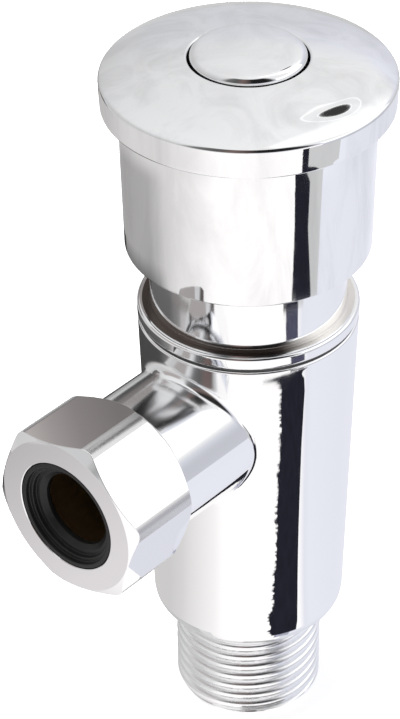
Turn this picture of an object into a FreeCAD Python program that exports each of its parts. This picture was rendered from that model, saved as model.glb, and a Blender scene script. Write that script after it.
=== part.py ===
import FreeCAD, Part

import math
import os

# Urinal flush valve with a push button: a chromed brass angle valve that closes by itself.
# Millimetres. +Z runs up the body axis to the button, and the branch points along -Y.
# The origin is the centre of the inlet thread's end face. Every distance called
# "height" is measured up from there, and every "reach" outwards along the branch.

V = FreeCAD.Vector
UP = V(0, 0, 1)
TINY = 1e-4

# Clearances between pieces
SCREWED_GAP = 0.05
STATIC_GAP = 0.04
RUNNING_GAP = 0.05
SEALING_GAP = 0.05
BUTTON_GAP = 0.34
PLAY = 0.3

# How far the button and the spindle travel
STROKE = 4.5

# Inlet: a G 1/2 pipe thread, drawn at its major size
INLET_THREAD_R = 10.4775
INLET_THREAD_LENGTH = 15.6
INLET_THREAD_CHAMFER = 0.9
INLET_BORE_R = 7.6

# Barrel of the body, a little wider at the top than at the foot
BARREL_FOOT_R = 13.5
BARREL_TOP_R = 15.0
BARREL_LENGTH = 49.3
BARREL_FOOT_ROUND = 0.8
BARREL_TOP_ROUND = 0.3
CHAMBER_FLOOR = 17.4
CHAMBER_WALL = 3.6
BONNET_SCREW_LENGTH = 7.4
BONNET_SCREW_WALL = 2.6

# Branch of the body
BRANCH_DROP = 13.2
BRANCH_R = 10.0
BRANCH_TUBE_REACH = 24.3
BRANCH_FILLET = 1.4
BRANCH_BORE_R = 5.75
BRANCH_SCREW_STEP = 0.7
BRANCH_SCREW_LENGTH = 9.7
BRANCH_SCREW_CHAMFER = 0.5

# Coupling nut on the branch
NUT_WALL = 1.75
NUT_REAR_GAP = 0.5
NUT_END_GAP = 0.16
NUT_LIP = 1.4
NUT_LIP_WIDTH = 1.48
NUT_FACE_INSET = 0.1
NUT_REAR_FACE_OUTSET = 0.2
NUT_CHAMFER_ANGLE = 30.0
NUT_CORNER_ANGLE = 12.3
NUT_CORNER_ROUND = 0.8
NUT_OPENING_CHAMFER = 0.25
NUT_SIDES = 6

# Rubber sleeve and slip ring in the nut
SLEEVE_BORE_R = 5.2
SLEEVE_MOUTH_WIDTH = 0.7
SLEEVE_LEAD = 0.3
SLEEVE_FLANGE = 0.9
SLEEVE_STEPS = 3
SLEEVE_RECESS = 0.7
SLIP_RING_THICKNESS = 0.5

# Bonnet: screwed into the barrel, its neck carries the cap
GASKET_THICKNESS = 0.4
GASKET_SETBACK = 0.35
FLANGE_PROUD = 0.03
FLANGE_THICKNESS = 1.9
FLANGE_ROUND = 0.45
LEDGE_WIDTH = 1.73
NECK_FOOT_WIDTH = 0.25
NECK_FOOT_RISE = 0.35
NECK_HEIGHT = 27.7
CYLINDER_WALL = 3.35
CYLINDER_SPARE = 1.6
WEB_THICKNESS = 3.0
GLAND_LEDGE = 1.1
GLAND_DEPTH = 3.8

# Cap: a mushroom with a skirt round the neck
SKIRT_SPACE = 1.46
SKIRT_WALL = 1.7
SKIRT_FLARE = 0.44
SKIRT_LENGTH = 20.9
SKIRT_ROUND = 0.25
CAP_SCREW_LENGTH = 9.0
RIM_OVERHANG = 2.25
RIM_FLARE = 0.15
RIM_THICKNESS = 4.0
RIM_ROUND = 0.9
RIM_FOOT_ROUND = 0.25
CROWN_RISE = 2.63
CROWN_SLOPE = 6.5
CROWN_R = 100.0
CROWN_ROLL_WIDTH = 4.6
CROWN_HOLE_ROUND = 0.3
CROWN_THICKNESS = 4.35
CROWN_ROOM = 4.7

# Push button
BUTTON_R = 7.5
BUTTON_DOME_RISE = 0.95
BUTTON_EDGE_STANDS = 0.35
BUTTON_EDGE_ROUND = 1.1
COLLAR_WIDTH = 1.8
COLLAR_THICKNESS = 1.8
COLLAR_SIDE_GAP = 1.2
BOSS_WALL = 1.2
BOSS_LENGTH = 2.1
BOSS_SOCKET_DEPTH = 0.8
BUTTON_SPRING_WIRE_R = 0.4
BUTTON_SPRING_TURNS = 6

# Spindle and what it carries
SPINDLE_R = 2.5
SPINDLE_TAIL_STEP = 0.5
SPINDLE_COLLAR_WIDTH = 1.1
SPINDLE_COLLAR_THICKNESS = 2.0
SPINDLE_TIP_CHAMFER = 0.4
PISTON_DROP = 3.9
PISTON_RIM_GAP = 0.4
PISTON_PLATE = 2.2
PISTON_HUB_WIDTH = 2.5
PISTON_HUB_LENGTH = 3.4
PISTON_BLEED_R = 0.5
LIP_SEAL_WALL = 0.8
LIP_SEAL_FLOOR = 0.9
LIP_SEAL_SETBACK = 0.4
CLIP_GROOVE_DEPTH = 0.5
CLIP_WIDTH = 1.7
CLIP_THICKNESS = 0.7
CLIP_SLOT_ANGLE = 70.0
BUSH_WALL = 1.1
BUSH_FLANGE_WIDTH = 1.0
BUSH_FLANGE_THICKNESS = 0.6
O_RING_SECTION_R = 0.93
O_RING_COUNT = 2
GLAND_NUT_PROUD = 0.6
GLAND_SLOT_WIDTH = 1.2
GLAND_SLOT_DEPTH = 1.2

# Cartridge cage, which holds the seat
CAGE_GASKET_THICKNESS = 1.0
CAGE_FLOOR = 3.0
CAGE_WALL = 1.7
CAGE_WINDOW_WIDTH = 9.0
CAGE_WINDOW_MARGIN = 0.65
CAGE_TOP_RING = 1.5
CAGE_WINDOWS = 4
SEAT_LIP_WIDTH = 0.8
SEAT_LIP_DROP = 0.7
RETURN_SPRING_WIRE_R = 0.55
RETURN_SPRING_TURNS = 9

# Valve head under the seat
HEAD_WATERWAY = 1.26
HEAD_RIM = 0.6
HEAD_RIM_DROP = 0.6
HEAD_FLOOR = 1.7
WASHER_THICKNESS = 1.9
WASHER_MARGIN = 0.4
HEAD_NUT_ACROSS_FLATS = 7.0
HEAD_NUT_THICKNESS = 3.2
TAIL_BELOW_NUT = 1.0

# Strainer in the inlet
STRAINER_RING_HEIGHT = 11.0
STRAINER_RING_WIRE = 1.0
STRAINER_FLANGE_THICKNESS = 1.0
STRAINER_FLANGE_WIDTH = 2.2
STRAINER_TOP_GAP = 0.9
STRAINER_WALL = 0.6
STRAINER_HOLE_R = 0.75
STRAINER_HOLE_RING_R = 2.7
STRAINER_HOLES = 6
STRAINER_SLOT_ROWS = 2
STRAINER_SLOTS = 6
STRAINER_SLOT_WIDTH = 1.2
STRAINER_SLOT_LENGTH = 2.2

# Body heights and radii
BARREL_FOOT = INLET_THREAD_LENGTH
BARREL_TOP = BARREL_FOOT + BARREL_LENGTH
SHOULDER = BARREL_FOOT + CHAMBER_FLOOR
CHAMBER_R = BARREL_TOP_R - CHAMBER_WALL
BONNET_SCREW_R = BARREL_TOP_R - BONNET_SCREW_WALL
BONNET_FOOT = BARREL_TOP - BONNET_SCREW_LENGTH
BRANCH_HEIGHT = BARREL_TOP - BRANCH_DROP
BRANCH_SCREW_R = BRANCH_R - BRANCH_SCREW_STEP
BRANCH_FACE_REACH = BRANCH_TUBE_REACH + BRANCH_SCREW_LENGTH

# Nut and sleeve
NUT_SCREW_R = BRANCH_SCREW_R + SCREWED_GAP
NUT_ACROSS_FLATS = 2 * (NUT_SCREW_R + NUT_WALL)
NUT_OPENING_R = NUT_SCREW_R - NUT_LIP_WIDTH
NUT_REAR_REACH = BRANCH_TUBE_REACH + NUT_REAR_GAP
SLEEVE_REAR = BRANCH_FACE_REACH + STATIC_GAP
SLEEVE_FLANGE_FRONT = SLEEVE_REAR + SLEEVE_FLANGE
NUT_LIP_REACH = SLEEVE_FLANGE_FRONT + STATIC_GAP + SLIP_RING_THICKNESS + NUT_END_GAP
NUT_FRONT_REACH = NUT_LIP_REACH + NUT_LIP

# Spindle fits
TAIL_R = SPINDLE_R - SPINDLE_TAIL_STEP
GUIDE_R = SPINDLE_R + RUNNING_GAP
GUIDE_BORE_R = GUIDE_R + BUSH_WALL + STATIC_GAP
PACKING_R = GUIDE_R + 2 * O_RING_SECTION_R + SEALING_GAP
PACKING_DEPTH = 2 * O_RING_COUNT * (O_RING_SECTION_R + STATIC_GAP)
GLAND_R = PACKING_R + GLAND_LEDGE
HUB_R = SPINDLE_R + PISTON_HUB_WIDTH
SPINDLE_COLLAR_R = SPINDLE_R + SPINDLE_COLLAR_WIDTH
COLLAR_R = BUTTON_R + COLLAR_WIDTH
WELL_R = COLLAR_R + COLLAR_SIDE_GAP

# Bonnet heights and radii
FLANGE_R = BARREL_TOP_R + FLANGE_PROUD
FLANGE_FOOT = BARREL_TOP + GASKET_THICKNESS
FLANGE_TOP = FLANGE_FOOT + FLANGE_THICKNESS
NECK_R = FLANGE_R - LEDGE_WIDTH
NECK_TOP = FLANGE_TOP + NECK_HEIGHT
CYLINDER_R = BONNET_SCREW_R - SCREWED_GAP - CYLINDER_WALL
PISTON_FOOT = BONNET_FOOT + CYLINDER_SPARE + STROKE
PISTON_PLATE_TOP = PISTON_FOOT + PISTON_PLATE
PISTON_TOP = PISTON_PLATE_TOP + PISTON_HUB_LENGTH
WEB_FOOT = PISTON_TOP + PISTON_DROP
WEB_TOP = WEB_FOOT + WEB_THICKNESS
PACKING_TOP = WEB_TOP + PACKING_DEPTH
WELL_FLOOR = PACKING_TOP + GLAND_DEPTH

# Cap heights and radii
CROWN_UNDERSIDE = NECK_TOP + CROWN_ROOM
CROWN_HOLE_TOP = CROWN_UNDERSIDE + CROWN_THICKNESS
RIM_TOP = CROWN_HOLE_TOP - CROWN_RISE
SKIRT_TOP = RIM_TOP - RIM_THICKNESS
SKIRT_FOOT = SKIRT_TOP - SKIRT_LENGTH
SKIRT_BORE_R = NECK_R + SKIRT_SPACE
SKIRT_FOOT_R = SKIRT_BORE_R + SKIRT_WALL
SKIRT_TOP_R = SKIRT_FOOT_R + SKIRT_FLARE
RIM_FOOT_R = SKIRT_TOP_R + RIM_OVERHANG
RIM_TOP_R = RIM_FOOT_R + RIM_FLARE
BUTTON_HOLE_R = BUTTON_R + BUTTON_GAP

# Button and spindle heights
COLLAR_TOP = CROWN_UNDERSIDE - SEALING_GAP
COLLAR_FOOT = COLLAR_TOP - COLLAR_THICKNESS
BOSS_FOOT = COLLAR_FOOT - BOSS_LENGTH
SOCKET_R = SPINDLE_R + PLAY
SOCKET_TOP = BOSS_FOOT + BOSS_SOCKET_DEPTH
SPINDLE_TOP = SOCKET_TOP - PLAY

# Cage and valve head
CAGE_FOOT = SHOULDER + CAGE_GASKET_THICKNESS
CAGE_FLOOR_TOP = CAGE_FOOT + CAGE_FLOOR
CAGE_TOP = BONNET_FOOT - STATIC_GAP
CAGE_R = CHAMBER_R - STATIC_GAP
HEAD_R = INLET_BORE_R - HEAD_WATERWAY
WASHER_R = HEAD_R - HEAD_RIM - STATIC_GAP
SEAT_LIP_R = WASHER_R - WASHER_MARGIN
SEAT_BORE_R = SEAT_LIP_R - SEAT_LIP_WIDTH
SEAT_FOOT = CAGE_FOOT - SEAT_LIP_DROP
WASHER_TOP = SEAT_FOOT - SEALING_GAP
WASHER_FOOT = WASHER_TOP - WASHER_THICKNESS
HEAD_FOOT = WASHER_FOOT - HEAD_FLOOR
HEAD_NUT_FOOT = HEAD_FOOT - HEAD_NUT_THICKNESS
SPINDLE_FOOT = HEAD_NUT_FOOT - TAIL_BELOW_NUT

# Strainer
STRAINER_R = INLET_BORE_R - STATIC_GAP
STRAINER_FOOT = STRAINER_RING_HEIGHT + STRAINER_RING_WIRE
STRAINER_CUP_R = INLET_BORE_R - STRAINER_FLANGE_WIDTH
STRAINER_TOP = SPINDLE_FOOT - STROKE - STRAINER_TOP_GAP


def turned(steps):
    """Solid turned about the Z axis. A step is a corner (radius, height), or a pair of
    corners for an arc through the first to the second."""
    edges = []
    first = V(steps[0][0], 0, steps[0][1])
    here = first
    for step in steps[1:] + steps[:1]:
        if isinstance(step[0], tuple):
            through, end = [V(radius, 0, height) for radius, height in step]
            edges.append(Part.Arc(here, through, end).toShape())
        else:
            end = V(step[0], 0, step[1])
            edges.append(Part.LineSegment(here, end).toShape())
        here = end
    return Part.Face(Part.Wire(edges)).revolve(V(0, 0, 0), UP, 360)


def tube(inner, outer, foot, top):
    """Plain ring between two radii and two heights."""
    return turned([(inner, foot), (outer, foot), (outer, top), (inner, top)])


def rod(radius, foot, top):
    """Plain cylinder between two heights."""
    return Part.makeCylinder(radius, top - foot, V(0, 0, foot), UP)


def circles_at(shape, places):
    """Circular edges round the Z axis at the given (radius, height) places."""
    found = []
    for edge in shape.Edges:
        if edge.Degenerated or not isinstance(edge.Curve, Part.Circle):
            continue
        for radius, height in places:
            if abs(edge.Curve.Radius - radius) < TINY and abs(edge.Curve.Center.z - height) < TINY:
                found.append(edge)
    return found


def rounded(shape, size, places):
    """Round the circular edges at the given (radius, height) places."""
    return shape.makeFillet(size, circles_at(shape, places))


def bevelled(shape, size, places):
    """Chamfer the circular edges at the given (radius, height) places."""
    return shape.makeChamfer(size, circles_at(shape, places))


def onto_branch(shape):
    """Lay a shape drawn along +Z down along the branch, with the branch axis as its own."""
    laid = shape.copy()
    laid.rotate(V(0, 0, 0), V(1, 0, 0), 90)
    laid.translate(V(0, 0, BRANCH_HEIGHT))
    return laid


def repeated(shape, count, first=0.0):
    """Equal copies of a shape round the Z axis."""
    copies = []
    for index in range(count):
        copy = shape.copy()
        copy.rotate(V(0, 0, 0), UP, first + index * 360.0 / count)
        copies.append(copy)
    return copies


def hexagon(across_flats, foot, top, corner_angle=0.0):
    """Hexagonal prism with one corner at the given angle from +X."""
    corner_r = across_flats / math.sqrt(3)
    corners = []
    for index in range(NUT_SIDES + 1):
        angle = math.radians(corner_angle + index * 360.0 / NUT_SIDES)
        corners.append(V(corner_r * math.cos(angle), corner_r * math.sin(angle), foot))
    return Part.Face(Part.makePolygon(corners)).extrude(V(0, 0, top - foot))


def tangent_arc(start, direction, end):
    """Arc from one point to another that leaves the first along a direction."""
    chord = end - start
    half = chord.Length / 2
    ahead = direction.normalize()
    reach = half / (ahead.dot(chord) / chord.Length)
    corner = start + ahead * reach
    middle = start + chord * 0.5
    lift = corner - middle
    turn = math.acos(min(1.0, half / reach))
    lift.normalize()
    return Part.Arc(start, middle + lift * (half * math.tan(turn / 2)), end).toShape()


def coil(mean_r, wire_r, foot, top, turns):
    """Compression spring between two heights, its end turns wound close, in quarter turns."""
    low = foot + wire_r
    high = top - wire_r
    close = 2 * wire_r + STATIC_GAP
    open_pitch = (high - low - 2 * close) / (turns - 2)
    quarters = 4 * turns

    def rise(quarter):
        turn = quarter / 4
        if turn <= 1:
            return low + close * turn
        if turn >= turns - 1:
            return high - close * (turns - turn)
        return low + close + open_pitch * (turn - 1)

    def point(quarter):
        angle = quarter * math.pi / 2
        return V(mean_r * math.cos(angle), mean_r * math.sin(angle), rise(quarter))

    def heading(quarter):
        angle = quarter * math.pi / 2
        before = max(quarter - 1, 0)
        after = min(quarter + 1, quarters)
        climb = (rise(after) - rise(before)) / ((after - before) * math.pi / 2)
        way = V(-mean_r * math.sin(angle), mean_r * math.cos(angle), climb)
        return way.normalize()

    edges = []
    for quarter in range(quarters):
        start, end = point(quarter), point(quarter + 1)
        leave, arrive = heading(quarter), heading(quarter + 1)
        chord = end - start
        along = chord.dot(leave + arrive)
        bend = 2 * (1 - leave.dot(arrive))
        reach = (math.sqrt(along * along + bend * chord.dot(chord)) - along) / bend
        joint = (start + leave * reach + end - arrive * reach) * 0.5
        edges.append(tangent_arc(start, leave, joint))
        edges.append(tangent_arc(joint, end - arrive * reach - joint, end))
    section = Part.Wire(Part.Circle(point(0), heading(0), wire_r).toShape())
    sweep = Part.BRepOffsetAPI.MakePipeShell(Part.Wire(edges))
    sweep.add(section)
    sweep.build()
    sweep.makeSolid()
    return sweep.shape()


def dome_centre(low_r, low, high_r, high):
    """Height of the centre of the sphere about the Z axis through two places."""
    return (high * high - low * low + high_r * high_r - low_r * low_r) / (2 * (high - low))


def on_dome(radius, centre, dome_r):
    """Height of a dome at a radius."""
    return centre + math.sqrt(dome_r * dome_r - radius * radius)


def valve_body():
    """Cast brass body: inlet thread, tapered barrel and side branch, turned and bored."""
    barrel = turned([
        (0, 0),
        (INLET_THREAD_R, 0),
        (INLET_THREAD_R, BARREL_FOOT),
        (BARREL_FOOT_R, BARREL_FOOT),
        (BARREL_TOP_R, BARREL_TOP),
        (0, BARREL_TOP),
    ])
    branch = onto_branch(rod(BRANCH_R, 0, BRANCH_TUBE_REACH))
    outside = barrel.fuse(branch)
    saddle = []
    for edge in outside.Edges:
        middle = edge.valueAt((edge.FirstParameter + edge.LastParameter) / 2)
        from_branch = math.hypot(middle.x, middle.z - BRANCH_HEIGHT)
        if abs(from_branch - BRANCH_R) < TINY and -BARREL_TOP_R < middle.y < -BARREL_FOOT_R / 2:
            saddle.append(edge)
    outside = outside.makeFillet(BRANCH_FILLET, saddle)
    outside = rounded(outside, BARREL_FOOT_ROUND, [(BARREL_FOOT_R, BARREL_FOOT)])
    outside = rounded(outside, BARREL_TOP_ROUND, [(BARREL_TOP_R, BARREL_TOP)])
    outside = bevelled(outside, INLET_THREAD_CHAMFER, [(INLET_THREAD_R, 0)])
    screw = rod(BRANCH_SCREW_R, BRANCH_TUBE_REACH - STATIC_GAP, BRANCH_FACE_REACH)
    screw = bevelled(screw, BRANCH_SCREW_CHAMFER, [(BRANCH_SCREW_R, BRANCH_FACE_REACH)])
    outside = outside.fuse(onto_branch(screw))
    bores = [
        rod(INLET_BORE_R, -TINY, SHOULDER + TINY),
        rod(CHAMBER_R, SHOULDER, BARREL_TOP),
        rod(BONNET_SCREW_R, BONNET_FOOT, BARREL_TOP + 1),
        onto_branch(rod(BRANCH_BORE_R, 0, BRANCH_FACE_REACH + 1)),
    ]
    return outside.cut(bores)


def bonnet():
    """Brass bonnet: screw, flange, neck, dashpot cylinder below the web and spring well above."""
    turning = turned([
        (CYLINDER_R, BONNET_FOOT),
        (BONNET_SCREW_R - SCREWED_GAP, BONNET_FOOT),
        (BONNET_SCREW_R - SCREWED_GAP, FLANGE_FOOT),
        (FLANGE_R, FLANGE_FOOT),
        (FLANGE_R, FLANGE_TOP),
        (NECK_R + NECK_FOOT_WIDTH, FLANGE_TOP),
        (NECK_R, FLANGE_TOP + NECK_FOOT_RISE),
        (NECK_R, NECK_TOP),
        (WELL_R, NECK_TOP),
        (WELL_R, WELL_FLOOR),
        (GLAND_R, WELL_FLOOR),
        (GLAND_R, PACKING_TOP),
        (PACKING_R, PACKING_TOP),
        (PACKING_R, WEB_TOP),
        (GUIDE_BORE_R, WEB_TOP),
        (GUIDE_BORE_R, WEB_FOOT),
        (CYLINDER_R, WEB_FOOT),
    ])
    return rounded(turning, FLANGE_ROUND, [(FLANGE_R, FLANGE_FOOT), (FLANGE_R, FLANGE_TOP)])


def bonnet_gasket():
    """Flat gasket between the barrel and the flange."""
    return tube(BONNET_SCREW_R, FLANGE_R - GASKET_SETBACK, BARREL_TOP, FLANGE_FOOT)


def crown_centre():
    """Centre, as radius and height, of the shallow arc that leaves the button hole at its slope."""
    slope = math.radians(CROWN_SLOPE)
    return BUTTON_HOLE_R - CROWN_R * math.sin(slope), CROWN_HOLE_TOP - CROWN_R * math.cos(slope)


def crown_height(radius):
    """Height of the crown's shallow part at a radius."""
    centre_r, centre = crown_centre()
    return on_dome(radius - centre_r, centre, CROWN_R)


def crown_steps():
    """Outline of the crown from the rim in: an arc that rolls down to the rim, then the shallow one."""
    shoulder_r = RIM_TOP_R - CROWN_ROLL_WIDTH
    shoulder = crown_height(shoulder_r)
    drop = shoulder - RIM_TOP
    start = math.asin((shoulder_r - crown_centre()[0]) / CROWN_R)
    sag = drop * math.cos(start) - CROWN_ROLL_WIDTH * math.sin(start)
    roll_r = (CROWN_ROLL_WIDTH ** 2 + drop ** 2) / (2 * sag)
    roll_centre = (shoulder_r - roll_r * math.sin(start), shoulder - roll_r * math.cos(start))
    middle = (start + math.asin((RIM_TOP_R - roll_centre[0]) / roll_r)) / 2
    through = (roll_centre[0] + roll_r * math.sin(middle), roll_centre[1] + roll_r * math.cos(middle))
    middle_r = (shoulder_r + BUTTON_HOLE_R) / 2
    return [
        (through, (shoulder_r, shoulder)),
        ((middle_r, crown_height(middle_r)), (BUTTON_HOLE_R, CROWN_HOLE_TOP)),
    ]


def cap():
    """Mushroom cap: a skirt hanging round the neck, a rim, and a domed crown with the button hole."""
    screw_r = NECK_R + SCREWED_GAP
    screw_foot = NECK_TOP - CAP_SCREW_LENGTH
    turning = turned([
        (SKIRT_BORE_R, SKIRT_FOOT),
        (SKIRT_FOOT_R, SKIRT_FOOT),
        (SKIRT_TOP_R, SKIRT_TOP),
        (RIM_FOOT_R, SKIRT_TOP),
        (RIM_TOP_R, RIM_TOP),
        *crown_steps(),
        (BUTTON_HOLE_R, CROWN_UNDERSIDE),
        (WELL_R, CROWN_UNDERSIDE),
        (WELL_R, NECK_TOP + STATIC_GAP),
        (screw_r, NECK_TOP + STATIC_GAP),
        (screw_r, screw_foot),
        (SKIRT_BORE_R, screw_foot),
    ])
    turning = rounded(turning, CROWN_HOLE_ROUND, [(BUTTON_HOLE_R, CROWN_HOLE_TOP)])
    turning = rounded(turning, RIM_ROUND, [(RIM_TOP_R, RIM_TOP)])
    turning = rounded(turning, RIM_FOOT_ROUND, [(RIM_FOOT_R, SKIRT_TOP)])
    return rounded(turning, SKIRT_ROUND, [(SKIRT_FOOT_R, SKIRT_FOOT)])


def push_button():
    """Domed button with a collar that keeps it under the crown and a boss over the spindle."""
    edge_height = crown_height(BUTTON_R) + BUTTON_EDGE_STANDS
    top = edge_height + BUTTON_DOME_RISE
    centre = dome_centre(BUTTON_R, edge_height, 0, top)
    middle_r = BUTTON_R / 2
    middle = (middle_r, on_dome(middle_r, centre, top - centre))
    turning = turned([
        (0, SOCKET_TOP),
        (SOCKET_R, SOCKET_TOP),
        (SOCKET_R, BOSS_FOOT),
        (SOCKET_R + BOSS_WALL, BOSS_FOOT),
        (SOCKET_R + BOSS_WALL, COLLAR_FOOT),
        (COLLAR_R, COLLAR_FOOT),
        (COLLAR_R, COLLAR_TOP),
        (BUTTON_R, COLLAR_TOP),
        (BUTTON_R, edge_height),
        (middle, (0, top)),
    ])
    return rounded(turning, BUTTON_EDGE_ROUND, [(BUTTON_R, edge_height)])


def button_spring():
    """Light spring in the well, between its floor and the button's collar."""
    mean_r = (GLAND_R + WELL_R) / 2
    foot = WELL_FLOOR + STATIC_GAP
    top = COLLAR_FOOT - STATIC_GAP
    return coil(mean_r, BUTTON_SPRING_WIRE_R, foot, top, BUTTON_SPRING_TURNS)


def spindle():
    """Stainless spindle with a collar under the piston, a clip groove above it and a thin tail."""
    clip_foot = PISTON_TOP + STATIC_GAP
    clip_top = clip_foot + CLIP_THICKNESS + STATIC_GAP
    groove_r = SPINDLE_R - CLIP_GROOVE_DEPTH
    collar_foot = PISTON_FOOT - SPINDLE_COLLAR_THICKNESS
    turning = turned([
        (0, SPINDLE_FOOT),
        (TAIL_R, SPINDLE_FOOT),
        (TAIL_R, WASHER_TOP),
        (SPINDLE_R, WASHER_TOP),
        (SPINDLE_R, collar_foot),
        (SPINDLE_COLLAR_R, collar_foot),
        (SPINDLE_COLLAR_R, PISTON_FOOT),
        (SPINDLE_R, PISTON_FOOT),
        (SPINDLE_R, clip_foot),
        (groove_r, clip_foot),
        (groove_r, clip_top),
        (SPINDLE_R, clip_top),
        (SPINDLE_R, SPINDLE_TOP),
        (0, SPINDLE_TOP),
    ])
    tips = [(SPINDLE_R, SPINDLE_TOP), (TAIL_R, SPINDLE_FOOT)]
    return bevelled(turning, SPINDLE_TIP_CHAMFER, tips)


def spindle_clip():
    """Open retaining ring in the groove above the piston."""
    foot = PISTON_TOP + STATIC_GAP
    outer = SPINDLE_R + CLIP_WIDTH
    inner = SPINDLE_R - CLIP_GROOVE_DEPTH + STATIC_GAP
    ring = tube(inner, outer, foot, foot + CLIP_THICKNESS)
    far = 2 * outer
    spread = far * math.tan(math.radians(CLIP_SLOT_ANGLE / 2))
    corners = [V(0, 0, foot), V(far, -spread, foot), V(far, spread, foot), V(0, 0, foot)]
    slot = Part.Face(Part.makePolygon(corners)).extrude(V(0, 0, CLIP_THICKNESS))
    return ring.cut(slot)


def dashpot_piston():
    """Piston: a plate with a bleed hole and a hub that the lip seal fits round."""
    plate_r = CYLINDER_R - PISTON_RIM_GAP
    turning = turned([
        (SPINDLE_R + STATIC_GAP, PISTON_FOOT),
        (plate_r, PISTON_FOOT),
        (plate_r, PISTON_PLATE_TOP),
        (HUB_R, PISTON_PLATE_TOP),
        (HUB_R, PISTON_TOP),
        (SPINDLE_R + STATIC_GAP, PISTON_TOP),
    ])
    bleed = rod(PISTON_BLEED_R, PISTON_FOOT - 1, PISTON_TOP + 1)
    bleed.translate(V((SPINDLE_R + HUB_R) / 2 + STATIC_GAP, 0, 0))
    return turning.cut(bleed)


def lip_seal():
    """U-shaped rubber cup round the piston's hub, its outer lip against the cylinder."""
    foot = PISTON_PLATE_TOP + STATIC_GAP
    top = PISTON_TOP - LIP_SEAL_SETBACK
    inner = HUB_R + STATIC_GAP
    outer = CYLINDER_R - SEALING_GAP
    return turned([
        (inner, foot),
        (outer - LIP_SEAL_WALL / 2, foot),
        (outer, top),
        (outer - LIP_SEAL_WALL, top),
        (outer - 2 * LIP_SEAL_WALL, foot + LIP_SEAL_FLOOR),
        (inner + LIP_SEAL_WALL, foot + LIP_SEAL_FLOOR),
        (inner + LIP_SEAL_WALL, top),
        (inner, top),
    ])


def guide_bush():
    """Flanged bush pressed up into the web, which guides the spindle."""
    outer = GUIDE_R + BUSH_WALL
    foot = WEB_FOOT - BUSH_FLANGE_THICKNESS
    return turned([
        (GUIDE_R, foot),
        (outer + BUSH_FLANGE_WIDTH, foot),
        (outer + BUSH_FLANGE_WIDTH, WEB_FOOT),
        (outer, WEB_FOOT),
        (outer, WEB_TOP),
        (GUIDE_R, WEB_TOP),
    ])


def spindle_seals():
    """O-rings round the spindle in the packing recess."""
    rings = []
    centre_r = GUIDE_R + O_RING_SECTION_R
    for index in range(O_RING_COUNT):
        height = WEB_TOP + (2 * index + 1) * (O_RING_SECTION_R + STATIC_GAP)
        rings.append(Part.makeTorus(centre_r, O_RING_SECTION_R, V(0, 0, height), UP))
    return Part.makeCompound(rings)


def gland_nut():
    """Slotted nut screwed down on the O-rings."""
    top = WELL_FLOOR + GLAND_NUT_PROUD
    nut = tube(GUIDE_R, GLAND_R - SCREWED_GAP, PACKING_TOP, top)
    slot = Part.makeBox(2 * GLAND_R, GLAND_SLOT_WIDTH, GLAND_SLOT_DEPTH)
    slot.translate(V(-GLAND_R, -GLAND_SLOT_WIDTH / 2, top - GLAND_SLOT_DEPTH))
    return nut.cut(slot)


def return_spring():
    """Closing spring between the cage's floor and the piston."""
    mean_r = (SPINDLE_COLLAR_R + CYLINDER_R) / 2
    foot = CAGE_FLOOR_TOP + STATIC_GAP
    top = PISTON_FOOT - STATIC_GAP
    return coil(mean_r, RETURN_SPRING_WIRE_R, foot, top, RETURN_SPRING_TURNS)


def cartridge_cage():
    """Windowed sleeve clamped under the bonnet, with the seat lip on its underside."""
    inner = CAGE_R - CAGE_WALL
    sleeve = turned([
        (SEAT_BORE_R, SEAT_FOOT),
        (SEAT_LIP_R, SEAT_FOOT),
        (SEAT_LIP_R, CAGE_FOOT),
        (CAGE_R, CAGE_FOOT),
        (CAGE_R, CAGE_TOP),
        (inner, CAGE_TOP),
        (inner, CAGE_FLOOR_TOP),
        (SEAT_BORE_R, CAGE_FLOOR_TOP),
    ])
    window_foot = BRANCH_HEIGHT - BRANCH_BORE_R - CAGE_WINDOW_MARGIN
    window = Part.makeBox(CAGE_WINDOW_WIDTH, 2 * CAGE_R, CAGE_TOP - CAGE_TOP_RING - window_foot)
    window.translate(V(-CAGE_WINDOW_WIDTH / 2, -2 * CAGE_R, window_foot))
    return sleeve.cut(repeated(window, CAGE_WINDOWS))


def cage_gasket():
    """Flat gasket between the body's shoulder and the cage."""
    return tube(INLET_BORE_R, CAGE_R, SHOULDER, CAGE_FOOT)


def valve_head():
    """Cup on the spindle's tail that holds the seat washer."""
    return turned([
        (TAIL_R + STATIC_GAP, HEAD_FOOT),
        (HEAD_R, HEAD_FOOT),
        (HEAD_R, WASHER_TOP - HEAD_RIM_DROP),
        (HEAD_R - HEAD_RIM, WASHER_TOP - HEAD_RIM_DROP),
        (HEAD_R - HEAD_RIM, WASHER_FOOT),
        (TAIL_R + STATIC_GAP, WASHER_FOOT),
    ])


def seat_washer():
    """Rubber washer that closes on the seat lip."""
    return tube(TAIL_R + STATIC_GAP, WASHER_R, WASHER_FOOT, WASHER_TOP)


def head_nut():
    """Nut under the valve head."""
    nut = hexagon(HEAD_NUT_ACROSS_FLATS, HEAD_NUT_FOOT, HEAD_FOOT)
    return nut.cut(rod(TAIL_R + STATIC_GAP, HEAD_NUT_FOOT - 1, HEAD_FOOT + 1))


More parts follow.
